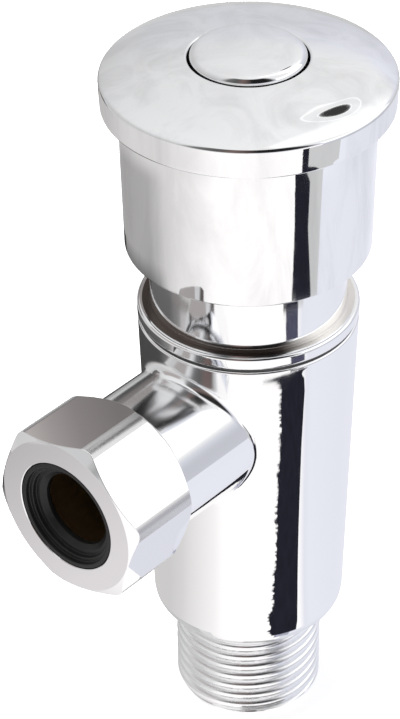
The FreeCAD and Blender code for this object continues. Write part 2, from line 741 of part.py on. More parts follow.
def inlet_strainer():
    """Cup with holes in its top and slots in its side, its flange down in the inlet bore."""
    flange_top = STRAINER_FOOT + STRAINER_FLANGE_THICKNESS
    cup = turned([
        (STRAINER_CUP_R - STRAINER_WALL, STRAINER_FOOT),
        (STRAINER_R, STRAINER_FOOT),
        (STRAINER_R, flange_top),
        (STRAINER_CUP_R, flange_top),
        (STRAINER_CUP_R, STRAINER_TOP),
        (0, STRAINER_TOP),
        (0, STRAINER_TOP - STRAINER_WALL),
        (STRAINER_CUP_R - STRAINER_WALL, STRAINER_TOP - STRAINER_WALL),
    ])
    hole = rod(STRAINER_HOLE_R, STRAINER_TOP - 2 * STRAINER_WALL, STRAINER_TOP + STRAINER_WALL)
    outer_hole = hole.copy()
    outer_hole.translate(V(STRAINER_HOLE_RING_R, 0, 0))
    cutters = [hole] + repeated(outer_hole, STRAINER_HOLES)
    row_height = (STRAINER_TOP - STRAINER_WALL - flange_top) / STRAINER_SLOT_ROWS
    for row in range(STRAINER_SLOT_ROWS):
        slot = Part.makeBox(STRAINER_CUP_R, STRAINER_SLOT_WIDTH, STRAINER_SLOT_LENGTH)
        slot_foot = flange_top + row_height * (row + 0.5) - STRAINER_SLOT_LENGTH / 2
        slot.translate(V(STRAINER_CUP_R / 2, -STRAINER_SLOT_WIDTH / 2, slot_foot))
        cutters += repeated(slot, STRAINER_SLOTS, row * 180.0 / STRAINER_SLOTS)
    return cup.cut(cutters)


def strainer_ring():
    """Snap ring under the strainer."""
    return tube(STRAINER_R - STRAINER_RING_WIRE, STRAINER_R, STRAINER_RING_HEIGHT, STRAINER_FOOT)


def coupling_nut():
    """Hexagonal union nut on the branch, its corners turned off at both ends."""
    corner_r = NUT_ACROSS_FLATS / math.sqrt(3)
    slope = math.tan(math.radians(NUT_CHAMFER_ANGLE))
    outer = corner_r + NUT_WALL
    face_r = NUT_ACROSS_FLATS / 2 - NUT_FACE_INSET
    rear_face_r = NUT_ACROSS_FLATS / 2 + NUT_REAR_FACE_OUTSET
    turning = turned([
        (0, NUT_REAR_REACH),
        (rear_face_r, NUT_REAR_REACH),
        (outer, NUT_REAR_REACH + (outer - rear_face_r) * slope),
        (outer, NUT_FRONT_REACH - (outer - face_r) * slope),
        (face_r, NUT_FRONT_REACH),
        (0, NUT_FRONT_REACH),
    ])
    prism = hexagon(NUT_ACROSS_FLATS, NUT_REAR_REACH, NUT_FRONT_REACH, NUT_CORNER_ANGLE)
    corners = [edge for edge in prism.Edges if edge.BoundBox.ZLength > NUT_CORNER_ROUND]
    nut = prism.makeFillet(NUT_CORNER_ROUND, corners).common(turning)
    bore = turned([
        (0, NUT_REAR_REACH - 1),
        (NUT_SCREW_R, NUT_REAR_REACH - 1),
        (NUT_SCREW_R, NUT_LIP_REACH),
        (NUT_OPENING_R, NUT_LIP_REACH),
        (NUT_OPENING_R, NUT_FRONT_REACH - NUT_OPENING_CHAMFER),
        (NUT_OPENING_R + NUT_OPENING_CHAMFER, NUT_FRONT_REACH),
        (0, NUT_FRONT_REACH),
    ])
    return onto_branch(nut.cut(bore))


def outlet_seal():
    """Stepped rubber sleeve: a flange on the branch's face, then rings that step inwards."""
    flange_r = NUT_SCREW_R - PLAY
    nose_r = NUT_OPENING_R - PLAY
    mouth_r = SLEEVE_BORE_R + SLEEVE_MOUTH_WIDTH
    front = NUT_FRONT_REACH - SLEEVE_RECESS
    step_width = (nose_r - mouth_r) / SLEEVE_STEPS
    step_depth = (front - SLEEVE_FLANGE_FRONT) / SLEEVE_STEPS
    steps = [
        (SLEEVE_BORE_R, SLEEVE_REAR + SLEEVE_LEAD),
        (SLEEVE_BORE_R + SLEEVE_LEAD, SLEEVE_REAR),
        (flange_r, SLEEVE_REAR),
        (flange_r, SLEEVE_FLANGE_FRONT),
        (nose_r, SLEEVE_FLANGE_FRONT),
    ]
    for index in range(SLEEVE_STEPS):
        reach = front - index * step_depth
        steps.append((nose_r - index * step_width, reach))
        steps.append((nose_r - (index + 1) * step_width, reach))
    steps.append((SLEEVE_BORE_R, SLEEVE_FLANGE_FRONT))
    return onto_branch(turned(steps))


def slip_ring():
    """Smooth ring that lets the nut turn on the sleeve's flange."""
    foot = SLEEVE_FLANGE_FRONT + STATIC_GAP
    return onto_branch(tube(NUT_OPENING_R, NUT_SCREW_R - PLAY, foot, foot + SLIP_RING_THICKNESS))


def write_parts():
    """Write every piece to its own file."""
    pieces = {
        "valve_body": valve_body,
        "bonnet": bonnet,
        "bonnet_gasket": bonnet_gasket,
        "cap": cap,
        "push_button": push_button,
        "button_spring": button_spring,
        "spindle": spindle,
        "spindle_clip": spindle_clip,
        "dashpot_piston": dashpot_piston,
        "lip_seal": lip_seal,
        "guide_bush": guide_bush,
        "spindle_seals": spindle_seals,
        "gland_nut": gland_nut,
        "return_spring": return_spring,
        "cartridge_cage": cartridge_cage,
        "cage_gasket": cage_gasket,
        "valve_head": valve_head,
        "seat_washer": seat_washer,
        "head_nut": head_nut,
        "inlet_strainer": inlet_strainer,
        "strainer_ring": strainer_ring,
        "coupling_nut": coupling_nut,
        "outlet_seal": outlet_seal,
        "slip_ring": slip_ring,
    }
    os.makedirs("parts", exist_ok=True)
    for name, make in pieces.items():
        shape = make()
        shape.exportStep("parts/" + name + ".step")
        print(name, len(shape.Solids), "solid", shape.isValid(), round(shape.Volume, 1))


write_parts()
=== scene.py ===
import bmesh
import bpy
from math import asin, atan2, cos, hypot, pi, radians, sin, sqrt, tan, tau
from mathutils import Matrix, Vector, noise


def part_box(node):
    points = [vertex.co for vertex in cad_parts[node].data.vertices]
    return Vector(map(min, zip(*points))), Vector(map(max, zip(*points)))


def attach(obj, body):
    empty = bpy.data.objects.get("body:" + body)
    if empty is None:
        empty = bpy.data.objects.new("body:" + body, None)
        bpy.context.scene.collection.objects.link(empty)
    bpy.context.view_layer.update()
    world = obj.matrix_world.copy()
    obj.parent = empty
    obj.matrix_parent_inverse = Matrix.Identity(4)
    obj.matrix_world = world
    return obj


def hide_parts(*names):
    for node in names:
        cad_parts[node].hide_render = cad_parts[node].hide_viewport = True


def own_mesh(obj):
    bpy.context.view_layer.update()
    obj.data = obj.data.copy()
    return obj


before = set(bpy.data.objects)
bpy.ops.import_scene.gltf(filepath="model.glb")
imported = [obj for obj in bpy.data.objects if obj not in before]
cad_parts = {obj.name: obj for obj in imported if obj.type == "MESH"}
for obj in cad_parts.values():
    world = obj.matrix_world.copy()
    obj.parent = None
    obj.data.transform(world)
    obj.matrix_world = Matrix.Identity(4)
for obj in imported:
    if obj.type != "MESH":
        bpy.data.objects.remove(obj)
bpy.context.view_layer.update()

# Valve body. One brass casting, turned and bored, with a pipe thread at its foot and a side branch
# that runs into the barrel in a small fillet. Chrome plate covers the outside, the bores stay bare.
MM = 0.001
COLUMNS = 192
TURN_ANGLES = [tau * column / COLUMNS for column in range(COLUMNS)]
ROUND_STEPS = 6
HOLD = 0.03 * MM
FINE_ROUND = 0.08 * MM
SHARP_EDGE = radians(32)
BARREL_FOOT = 15.6 * MM
BARREL_TOP = 64.9 * MM
BARREL_FOOT_R = 13.5 * MM
BARREL_TOP_R = 15.0 * MM
BARREL_FLARE = (BARREL_TOP_R - BARREL_FOOT_R) / (BARREL_TOP - BARREL_FOOT)
BARREL_FOOT_ROUND = 2.4 * MM
BARREL_TOP_ROUND = 0.3 * MM
BONNET_SCREW_R = 12.4 * MM
BONNET_FOOT = 57.5 * MM
CHAMBER_R = 11.4 * MM
SHOULDER = 33.0 * MM
INLET_BORE_R = 7.6 * MM
BRANCH_HEIGHT = 51.7 * MM
BRANCH_R = 10.0 * MM
BRANCH_FILLET = 1.4 * MM
BRANCH_TUBE_REACH = 24.3 * MM
BRANCH_SCREW_R = 9.3 * MM
BRANCH_FACE_REACH = 34.0 * MM
BRANCH_BORE_R = 5.75 * MM
THREAD_PITCH = 1.814 * MM
THREAD_R = 10.47 * MM
THREAD_ROOT_R = 9.32 * MM
THREAD_START_R = 9.58 * MM
THREAD_CREST = 3.0
THREAD_ROOT_SHADE_R = 9.6 * MM
THREAD_ROWS = 138
FACE_SPAN = 32
FACE_FOOT = BRANCH_HEIGHT - 13.4 * MM
FACE_TOP = BRANCH_HEIGHT + 12.3 * MM
BORE_FACE_FOOT = BRANCH_HEIGHT - 8 * MM
TUBE_EDGE_ROUND = 0.25 * MM
SCREW_EDGE_ROUND = 0.4 * MM
FACE_ROWS = 36
SADDLE_RINGS = 8
FILLET_STEPS = 7


class Skin:
    """Points and faces of one piece, gathered ring by ring."""

    def __init__(self):
        self.points = []
        self.faces = []

    def ring(self, places):
        first = len(self.points)
        self.points.extend(places)
        return list(range(first, len(self.points)))

    def band(self, one, other, closed=True):
        count = max(len(one), len(other))
        for here in range(count if closed else count - 1):
            after = (here + 1) % count
            if len(one) == 1:
                self.faces.append((one[0], other[after], other[here]))
            elif len(other) == 1:
                self.faces.append((one[here], one[after], other[0]))
            else:
                self.faces.append((one[here], one[after], other[after], other[here]))

    def bands(self, rings, closed=True):
        for one, other in zip(rings, rings[1:]):
            self.band(one, other, closed)

    def piece(self, name, finishes, finish_at=None):
        mesh = bpy.data.meshes.new(name)
        shape = bmesh.new()
        corners = [shape.verts.new(point) for point in self.points]
        for face in self.faces:
            shape.faces.new([corners[index] for index in face])
        bmesh.ops.recalc_face_normals(shape, faces=shape.faces)
        for face in shape.faces:
            face.smooth = True
            if finish_at:
                face.material_index = int(finish_at(face.calc_center_median()))
        shape.to_mesh(mesh)
        shape.free()
        mesh.set_sharp_from_angle(angle=SHARP_EDGE)
        for finish in finishes:
            mesh.materials.append(finish)
        made = bpy.data.objects.new(name, mesh)
        bpy.context.collection.objects.link(made)
        return made


def swung(first, last, share):
    """Way between two ways of the same length, along the arc from one to the other."""
    angle = first.angle(last)
    return (first * sin((1 - share) * angle) + last * sin(share * angle)) / sin(angle)


def eased(corners):
    """Outline in radius and height. A corner with a third number is drawn as an arc of that radius."""
    outline = []
    for index, corner in enumerate(corners):
        here = Vector(corner[:2])
        if len(corner) == 2:
            outline.append(here)
            continue
        last_way = (Vector(corners[index - 1][:2]) - here).normalized()
        next_way = (Vector(corners[(index + 1) % len(corners)][:2]) - here).normalized()
        half_turn = (pi - last_way.angle(next_way)) / 2
        start = here + last_way * corner[2] * tan(half_turn)
        end = here + next_way * corner[2] * tan(half_turn)
        centre = here + (last_way + next_way).normalized() * corner[2] / cos(half_turn)
        outline.append(start + last_way * HOLD)
        for step in range(ROUND_STEPS + 1):
            outline.append(centre + swung(start - centre, end - centre, step / ROUND_STEPS))
        outline.append(end + next_way * HOLD)
    return outline


def round_onto_arc(foot, corner, round_r, centre, arc_r):
    """Outline of a round between the line from foot to corner and the arc that turns in from there."""
    line_way = (corner - foot).normalized()
    inward = Vector((-line_way.y, line_way.x))
    start = foot + inward * round_r - centre
    along = start.dot(line_way)
    reach = sqrt(along * along - start.dot(start) + (arc_r - round_r) ** 2) - along
    middle = foot + inward * round_r + line_way * reach
    first = -inward * round_r
    last = (middle - centre).normalized() * round_r
    return [middle + swung(first, last, step / ROUND_STEPS) for step in range(ROUND_STEPS + 1)]


def ring_at(radius, height):
    """Places round the body axis, from the branch's side anticlockwise. On the axis there is one."""
    if radius < HOLD:
        return [Vector((0, 0, height))]
    return [Vector((radius * sin(angle), -radius * cos(angle), height)) for angle in TURN_ANGLES]


def turned(name, outline, finishes, finish_at=None, closed=True):
    """Piece turned about the body axis from an outline in radius and height."""
    skin = Skin()
    rings = [skin.ring(ring_at(radius, height)) for radius, height in outline]
    skin.bands(rings + rings[:1] if closed else rings)
    return skin.piece(name, finishes, finish_at)


class Shader:
    """Shader nodes of a material or the sky, each one added, set and joined by a single call."""

    def __init__(self, owner, coordinates="Object"):
        owner.use_nodes = True
        self.nodes, self.links = owner.node_tree.nodes, owner.node_tree.links
        self.place = self.add("TexCoord", coordinates, {})

    def feed(self, node, inputs):
        """Set a node's inputs to values, or join them to outputs of other nodes."""
        for socket, value in inputs.items():
            if isinstance(value, bpy.types.NodeSocket):
                self.links.new(value, node.inputs[socket])
            else:
                node.inputs[socket].default_value = value

    def add(self, kind, output, inputs, **settings):
        """Add a node and give one of its outputs."""
        node = self.nodes.new("ShaderNode" + kind)
        for setting, value in settings.items():
            setattr(node, setting, value)
        self.feed(node, inputs)
        return node.outputs[output]

    def surface(self, inputs):
        self.feed(self.nodes["Principled BSDF"], inputs)

    def cloud(self, scale, **inputs):
        """Soft patches of a size set by the scale."""
        return self.add("TexNoise", "Fac", {"Vector": self.place, "Scale": scale, **inputs})

    def spread(self, value, low, high, first=0.0, last=1.0):
        """Value taken from one range to another and held at its ends."""
        return self.add("MapRange", "Result", {
            "Value": value, "From Min": low, "From Max": high, "To Min": first, "To Max": last})

    def mixed(self, share, one, other):
        """Mix of two colours, each an output or fixed, by the share of the other."""
        return self.add("Mix", "Result", {"Factor": share, "A": one, "B": other}, data_type="RGBA")

    def times(self, one, other):
        return self.add("Math", "Value", {0: one, 1: other}, operation="MULTIPLY")

    def ramped(self, share, stops):
        """Colour that follows a share through the given (place, colour) stops."""
        ramp = self.nodes.new("ShaderNodeValToRGB")
        elements = ramp.color_ramp.elements
        elements.remove(elements[-1])
        elements[0].position, elements[0].color = stops[0]
        for place, colour in stops[1:]:
            elements.new(place).color = colour
        self.feed(ramp, {"Fac": share})
        return ramp.outputs["Color"]

    def relief(self, height, strength, depth):
        return self.add("Bump", "Normal", {"Height": height, "Strength": strength, "Distance": depth})


def plated_chrome(name, tint, haze, ripple, smudge=0.0, least=0.35):
    """Polished chrome plate: a mirror with a faint ripple from polishing, wiped haze and smudges."""
    finish = bpy.data.materials.new(name)
    shader = Shader(finish)
    wiping = shader.cloud(130, Detail=5, Distortion=1.2)
    shader.surface({
        "Base Color": (*tint, 1),
        "Metallic": 1,
        "Roughness": shader.spread(wiping, 0.35, 0.75, haze * least, haze),
        "Normal": shader.relief(shader.cloud(210, Detail=2), 0.35, ripple),
    })
    if smudge:
        drawn_out = shader.add("Mapping", "Vector", {"Vector": shader.place, "Scale": (1, 1, 0.22)})
        film = shader.cloud(125, Vector=drawn_out, Detail=6, Roughness=0.62, Distortion=1.6)
        smudged = (*[part * (1 - smudge) for part in tint], 1)
        shader.surface({"Base Color": shader.mixed(shader.spread(film, 0.42, 0.68), (*tint, 1), smudged)})
    return finish


def bare_metal(name, tint, roughness, cut_scale, cut_depth):
    """Turned metal without plate: fine cutter rings round the axis and a slight stain."""
    finish = bpy.data.materials.new(name)
    shader = Shader(finish)
    stained = (*[part * 0.72 for part in tint], 1)
    rings = {"Vector": shader.place, "Scale": cut_scale, "Distortion": 0.4}
    shader.surface({
        "Base Color": shader.mixed(shader.cloud(260, Detail=4), stained, (*tint, 1)),
        "Metallic": 1,
        "Roughness": roughness,
        "Normal": shader.relief(shader.add("TexWave", "Fac", rings, bands_direction="Z"), 0.5, cut_depth),
    })
    return finish


SADDLE_PLACE = (-2 * MM, -17 * MM, 60 * MM)
SADDLE_NEAR = 7 * MM
SADDLE_FAR = 17 * MM
SADDLE_HAZE = 0.11
CHROME_TINT = (0.93, 0.935, 0.945)
body_chrome = plated_chrome("body_chrome", CHROME_TINT, 0.05, 0.006 * MM)
shader = Shader(body_chrome)
away = shader.add("VectorMath", "Value", {0: shader.place, 1: SADDLE_PLACE}, operation="DISTANCE")
hand_buffed = shader.spread(away, SADDLE_NEAR, SADDLE_FAR, SADDLE_HAZE, 0.0)
wiped = shader.nodes["Principled BSDF"].inputs["Roughness"].links[0].from_socket
shader.surface({"Roughness": shader.add("Math", "Value", {0: wiped, 1: hand_buffed}, operation="ADD")})
thread_chrome = plated_chrome("thread_chrome", (0.95, 0.955, 0.965), 0.30, 0.01 * MM, least=0.8)
# The dark rough metal down in the thread's roots is painted shade, standing for the shadow under each crest.
thread_root_shade = bare_metal("thread_root_shade", (0.45, 0.45, 0.47), 0.5, 900, 0.01 * MM)
bare_brass = bare_metal("bare_brass", (0.60, 0.46, 0.28), 0.34, 900, 0.01 * MM)


def barrel_r(height):
    return BARREL_FOOT_R + BARREL_FLARE * (height - BARREL_FOOT)


def chamber_r(height):
    return CHAMBER_R


def thread_r(angle, height):
    """Radius of the inlet thread's surface: a right-handed ridge, cut back to a cone at its start."""
    turn = (height / THREAD_PITCH - angle / tau) % 1.0
    ridge = 1 - abs(1 - abs(2 * turn - 1)) ** THREAD_CREST
    return min(THREAD_ROOT_R + (THREAD_R - THREAD_ROOT_R) * ridge, THREAD_START_R + height)


def spaced(low, high, count):
    return [low + (high - low) * step / count for step in range(count + 1)]


def windowed(skin, heights, wall_r, flare, branch_r, fillet):
    """Turned wall between heights with a window for the branch. Gives the wall's first and last
    rings, the ring where the branch leaves it, and the angles of that ring about the branch."""
    around = slice(FACE_SPAN, COLUMNS - FACE_SPAN + 1)
    low, high = heights[0], heights[-1]
    first = skin.ring(ring_at(wall_r(low), low))
    last = skin.ring(ring_at(wall_r(high), high))
    sides = [(skin.ring(ring_at(wall_r(height), height)[around]), height) for height in heights[1:-1]]
    skin.bands([first[around], *[side for side, _ in sides], last[around]], closed=False)
    span = range(-FACE_SPAN, FACE_SPAN + 1)
    loop = [(first[step], step, low) for step in span]
    loop += [(side[0], FACE_SPAN, height) for side, height in sides]
    loop += [(last[step], step, high) for step in reversed(span)]
    loop += [(side[-1], -FACE_SPAN, height) for side, height in reversed(sides)]
    lean = sqrt(1 + flare * flare)
    saddles = [[] for _ in range(SADDLE_RINGS)]
    rounds = [[] for _ in range(FILLET_STEPS if fillet else 0)]
    turns = []
    for _, step, height in loop:
        wide = tau * step / COLUMNS
        about = atan2(height - BRANCH_HEIGHT, wide * wall_r(height))
        turns.append(about)
        ball_x = (branch_r + fillet) * cos(about)
        ball_z = BRANCH_HEIGHT + (branch_r + fillet) * sin(about)
        ball_r = wall_r(ball_z) + fillet * lean
        ball = Vector((ball_x, -sqrt(ball_r * ball_r - ball_x * ball_x), ball_z))
        outward = Vector((ball.x / ball_r, ball.y / ball_r, -flare)) / lean
        foot = ball - outward * fillet
        foot_angle = atan2(foot.x, -foot.y)
        for index, saddle in enumerate(saddles):
            share = (index + 1) / SADDLE_RINGS
            angle = wide + (foot_angle - wide) * share
            level = height + (foot.z - height) * share
            saddle.append(Vector((wall_r(level) * sin(angle), -wall_r(level) * cos(angle), level)))
        start = foot - ball
        end = Vector((-cos(about), 0, -sin(about))) * fillet
        for index, round_ring in enumerate(rounds):
            round_ring.append(ball + swung(start, end, (index + 1) / FILLET_STEPS))
    rings = [[index for index, _, _ in loop]] + [skin.ring(places) for places in saddles + rounds]
    skin.bands([ring + ring[:1] for ring in rings], closed=False)
    return first, last, rings[-1], turns


def branch_ring(radius, reach, turns):
    """Places round the branch axis at the given angles."""
    return [Vector((radius * cos(turn), -reach, BRANCH_HEIGHT + radius * sin(turn))) for turn in turns]


def body_finish_at(place):
    """Finish of a place on the body: plate, brass in the bores, or dark painted shade in the thread's roots.
    """
    off_axis = hypot(place.x, place.y)
    in_branch = place.y < 0 and hypot(place.x, place.z - BRANCH_HEIGHT) < BRANCH_BORE_R + HOLD
    in_barrel = off_axis < BONNET_SCREW_R + HOLD and place.z > BARREL_FOOT + MM
    if off_axis < INLET_BORE_R + HOLD or in_barrel or in_branch:
        return 1
    if off_axis > THREAD_R + HOLD or place.z > BARREL_FOOT - HOLD:
        return 0
    return 2 if off_axis < THREAD_ROOT_SHADE_R and place.z > MM else 3


body = Skin()
wall_heights = spaced(FACE_FOOT, FACE_TOP, FACE_ROWS)
wall_low, wall_high, wall_saddle, wall_turns = windowed(
    body, wall_heights, barrel_r, BARREL_FLARE, BRANCH_R, BRANCH_FILLET)
chamber_heights = spaced(BORE_FACE_FOOT, BONNET_FOOT - HOLD, FACE_ROWS)
chamber_low, chamber_high, chamber_saddle, bore_turns = windowed(
    body, chamber_heights, chamber_r, 0.0, BRANCH_BORE_R, 0.0)
rings = []
for level in spaced(0.0, BARREL_FOOT, THREAD_ROWS):
    ways = [(Vector((sin(angle), -cos(angle), 0)), thread_r(angle, level)) for angle in TURN_ANGLES]
    rings.append(body.ring([way * radius + Vector((0, 0, level)) for way, radius in ways]))
barrel_foot = eased([
    (THREAD_R, BARREL_FOOT),
    (BARREL_FOOT_R, BARREL_FOOT, BARREL_FOOT_ROUND),
    (barrel_r(FACE_FOOT), FACE_FOOT),
])
rings += [body.ring(ring_at(*corner)) for corner in barrel_foot[1:-1]]
rings.append(wall_low)
body.bands(rings)
barrel_mouth = eased([
    (barrel_r(FACE_TOP), FACE_TOP),
    (BARREL_TOP_R, BARREL_TOP, BARREL_TOP_ROUND),
    (BONNET_SCREW_R, BARREL_TOP, FINE_ROUND),
    (BONNET_SCREW_R, BONNET_FOOT),
    (CHAMBER_R, BONNET_FOOT),
    (CHAMBER_R, chamber_heights[-1]),
])
mouth = [wall_high] + [body.ring(ring_at(*corner)) for corner in barrel_mouth[1:-1]] + [chamber_high]
body.bands(mouth)
floor_corners = [(CHAMBER_R, SHOULDER), (INLET_BORE_R, SHOULDER), (INLET_BORE_R, FINE_ROUND),
                 (INLET_BORE_R + FINE_ROUND, 0.0)]
inlet = [chamber_low] + [body.ring(ring_at(*corner)) for corner in floor_corners] + [rings[0]]
body.bands(inlet)
branch_end = eased([
    (BRANCH_R, BARREL_TOP_R),
    (BRANCH_R, BRANCH_TUBE_REACH, TUBE_EDGE_ROUND),
    (BRANCH_SCREW_R, BRANCH_TUBE_REACH),
    (BRANCH_SCREW_R, BRANCH_FACE_REACH, SCREW_EDGE_ROUND),
    (BRANCH_BORE_R, BRANCH_FACE_REACH, FINE_ROUND),
    (BRANCH_BORE_R, CHAMBER_R),
])
branch = [wall_saddle]
for radius, reach in branch_end[1:-1]:
    turns = wall_turns if radius > (BRANCH_SCREW_R + BRANCH_BORE_R) / 2 else bore_turns
    branch.append(body.ring(branch_ring(radius, reach, turns)))
branch.append(chamber_saddle)
body.bands(branch)
body_finishes = (body_chrome, bare_brass, thread_root_shade, thread_chrome)
valve_body = body.piece("valve_body_plated", body_finishes, body_finish_at)
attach(valve_body, "valve")
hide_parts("valve_body")

# Inlet strainer and its snap ring. A drilled cup pressed from stainless sheet keeps grit out of the
# valve, and an open ring of spring steel holds its flange up in the inlet bore.


def finish_nodes(finish, *nodes):
    """Give every face of these pieces of the frame one finish."""
    for node in nodes:
        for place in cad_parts[node].material_slots:
            place.material = finish


turned_steel = bare_metal("turned_steel", (0.60, 0.60, 0.61), 0.24, 700, 0.006 * MM)
drawn_wire = bare_metal("drawn_wire", (0.52, 0.52, 0.54), 0.30, 150, 0.003 * MM)
finish_nodes(turned_steel, "inlet_strainer")
finish_nodes(drawn_wire, "strainer_ring")

# Cartridge cage on its gasket. Turned brass with four windows that pass the water to the branch, and
# the seat for the valve head in its floor. The bonnet's screw clamps it down on the shoulder.


def soft_rubber(name, shade, roughness, grain):
    """Moulded rubber: near black, with a fine grain from the mould and a dusty bloom in patches."""
    finish = bpy.data.materials.new(name)
    shader = Shader(finish)
    clean = (shade * 0.6, shade * 0.6, shade * 0.62, 1)
    dusty = (shade * 1.5, shade * 1.48, shade * 1.45, 1)
    shader.surface({
        "Base Color": shader.mixed(shader.cloud(320, Detail=6), clean, dusty),
        "Roughness": roughness,
        "Specular IOR Level": 0.3,
        "Normal": shader.relief(shader.cloud(2600, Detail=3), 0.6, grain),
    })
    return finish


seal_rubber = soft_rubber("seal_rubber", 0.008, 0.40, 0.03 * MM)
finish_nodes(bare_brass, "cartridge_cage")
finish_nodes(seal_rubber, "cage_gasket")

# Spindle with what it carries: the valve head with its washer and nut at the foot, the dashpot
# piston with its lip seal above, and the clip that keeps the piston down on the spindle's collar.
finish_nodes(turned_steel, "spindle")
finish_nodes(bare_brass, "valve_head", "head_nut", "dashpot_piston")
finish_nodes(seal_rubber, "seat_washer", "lip_seal")
finish_nodes(drawn_wire, "spindle_clip")

# Return spring. Spring steel wire between the cage's floor and the piston, which shuts the valve
# when the button is let go. It shortens on its foot as the spindle goes down.
WIRE_SIDES = 12
STEPS_PER_TURN = 48
TURN_GAP = 0.04 * MM
RETURN_WIRE_R = 0.55 * MM
RETURN_TURNS = 9


def wound_spring(name, node, wire_r, turns):
    """Spring of round wire with closed end turns, in its node's place."""
    low, high = [Vector(corner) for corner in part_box(node)]
    mean_r = high.x - wire_r
    closed = 2 * wire_r + TURN_GAP
    open_pitch = (high.z - low.z - 2 * wire_r - 2 * closed) / (turns - 2)
    wire_angles = [tau * side / WIRE_SIDES for side in range(WIRE_SIDES)]
    middles, loops = [], []
    for step in range(turns * STEPS_PER_TURN + 1):
        turn = step / STEPS_PER_TURN
        open_turns = min(max(turn - 1, 0), turns - 2)
        height = low.z + wire_r + closed * (turn - open_turns) + open_pitch * open_turns
        climb = (open_pitch if 1 < turn < turns - 1 else closed) / tau
        out = Vector((cos(tau * turn), sin(tau * turn), 0))
        up = Vector((out.y * climb, -out.x * climb, mean_r)).normalized()
        middles.append(out * mean_r + Vector((0, 0, height)))
        loops.append([middles[-1] + (out * cos(way) + up * sin(way)) * wire_r for way in wire_angles])
    skin = Skin()
    skin.bands([skin.ring(places) for places in (middles[:1], *loops, middles[-1:])])
    spring = skin.piece(name, (drawn_wire,))
    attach(spring, "valve")
    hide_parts(node)
    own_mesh(spring)


wound_spring("return_spring_wire", "return_spring", RETURN_WIRE_R, RETURN_TURNS)

# Guide bush, two rubber rings and the slotted gland nut. They sit in the bonnet's web round the
# spindle, where the bush guides it and the rings keep the water in.


def turned_plastic(name, tint, roughness):
    """Turned acetal: waxy off-white with cutter marks round the axis."""
    finish = bpy.data.materials.new(name)
    shader = Shader(finish)
    dull = (*[part * 0.92 for part in tint], 1)
    cuts = shader.add("TexWave", "Fac", {"Vector": shader.place, "Scale": 1100}, bands_direction="Z")
    shader.surface({
        "Base Color": shader.mixed(shader.cloud(300), dull, (*tint, 1)),
        "Roughness": roughness,
        "Subsurface Weight": 0.1,
        "Subsurface Scale": 1.5 * MM,
        "Normal": shader.relief(cuts, 0.4, 0.01 * MM),
    })
    return finish


acetal = turned_plastic("white_acetal", (0.80, 0.79, 0.74), 0.42)
finish_nodes(acetal, "guide_bush")
finish_nodes(seal_rubber, "spindle_seals")
finish_nodes(bare_brass, "gland_nut")

# Bonnet and its gasket. The bonnet is turned from brass bar and plated: its screw closes the barrel,
# its flange clamps the gasket, and its neck rises inside the cap's skirt.
FLANGE_R = 15.03 * MM
FLANGE_FOOT = 65.3 * MM
FLANGE_TOP = 67.2 * MM
FLANGE_ROUND = 0.45 * MM
NECK_R = 13.3 * MM
NECK_FOOT_R = 13.55 * MM
NECK_FOOT_TOP = 67.55 * MM
NECK_TOP = 94.9 * MM
BONNET_SCREW_OUT_R = 12.35 * MM
CYLINDER_R = 9.0 * MM
WEB_FOOT = 73.07 * MM
WEB_TOP = 76.07 * MM
PACKING_TOP = 79.98 * MM
WELL_FLOOR = 83.78 * MM
GUIDE_BORE_R = 3.69 * MM
PACKING_R = 4.46 * MM
GLAND_R = 5.56 * MM
WELL_R = 10.5 * MM
GASKET_R = 14.68 * MM
LEDGE_EDGE_R = 14.35 * MM
neck_chrome = plated_chrome("neck_chrome", CHROME_TINT, 0.13, 0.006 * MM)
VIEW_SIDE = radians(39.9)
LEDGE_SHADE = (0.115, 0.095, 0.085, 1)
LEDGE_TINT = (0.86, 0.83, 0.79)


def by_bearing(shader, stops):
    """Colour by the bearing from the camera's side in degrees, from -180 behind by the left to 180."""
    turn = {"Vector": shader.place, "Rotation": (0, 0, VIEW_SIDE - pi / 2)}
    facing = shader.add("Mapping", "Vector", turn, vector_type="TEXTURE")
    around = shader.add("TexGradient", "Fac", {"Vector": facing}, gradient_type="RADIAL")
    return shader.ramped(around, [((0.5 + bearing / 360) % 1.0, colour) for bearing, colour in stops])


# The ledge's left side, by bearing from the camera, is painted dark brown as shade. Its right side keeps the
# metal's own pale tint.
ledge_metal = bare_metal("ledge_metal", LEDGE_TINT, 0.34, 1600, 0.03 * MM)
shader = Shader(ledge_metal)
shader.surface({"Base Color": by_bearing(shader, [
    (-180, LEDGE_SHADE), (18, LEDGE_SHADE), (43.2, (*LEDGE_TINT, 1)), (154.8, (*LEDGE_TINT, 1)), (172.8, LEDGE_SHADE)])})


def bonnet_finish_at(place):
    """Finish of a place on the bonnet: plate, bare inside and on the screw, or the ledge with painted shade
    on its left side.
    """
    off_axis = hypot(place.x, place.y)
    if off_axis < NECK_R - MM / 2 or place.z < FLANGE_FOOT:
        return 1
    return 2 if off_axis < LEDGE_EDGE_R and FLANGE_TOP - HOLD < place.z < NECK_FOOT_TOP else 0


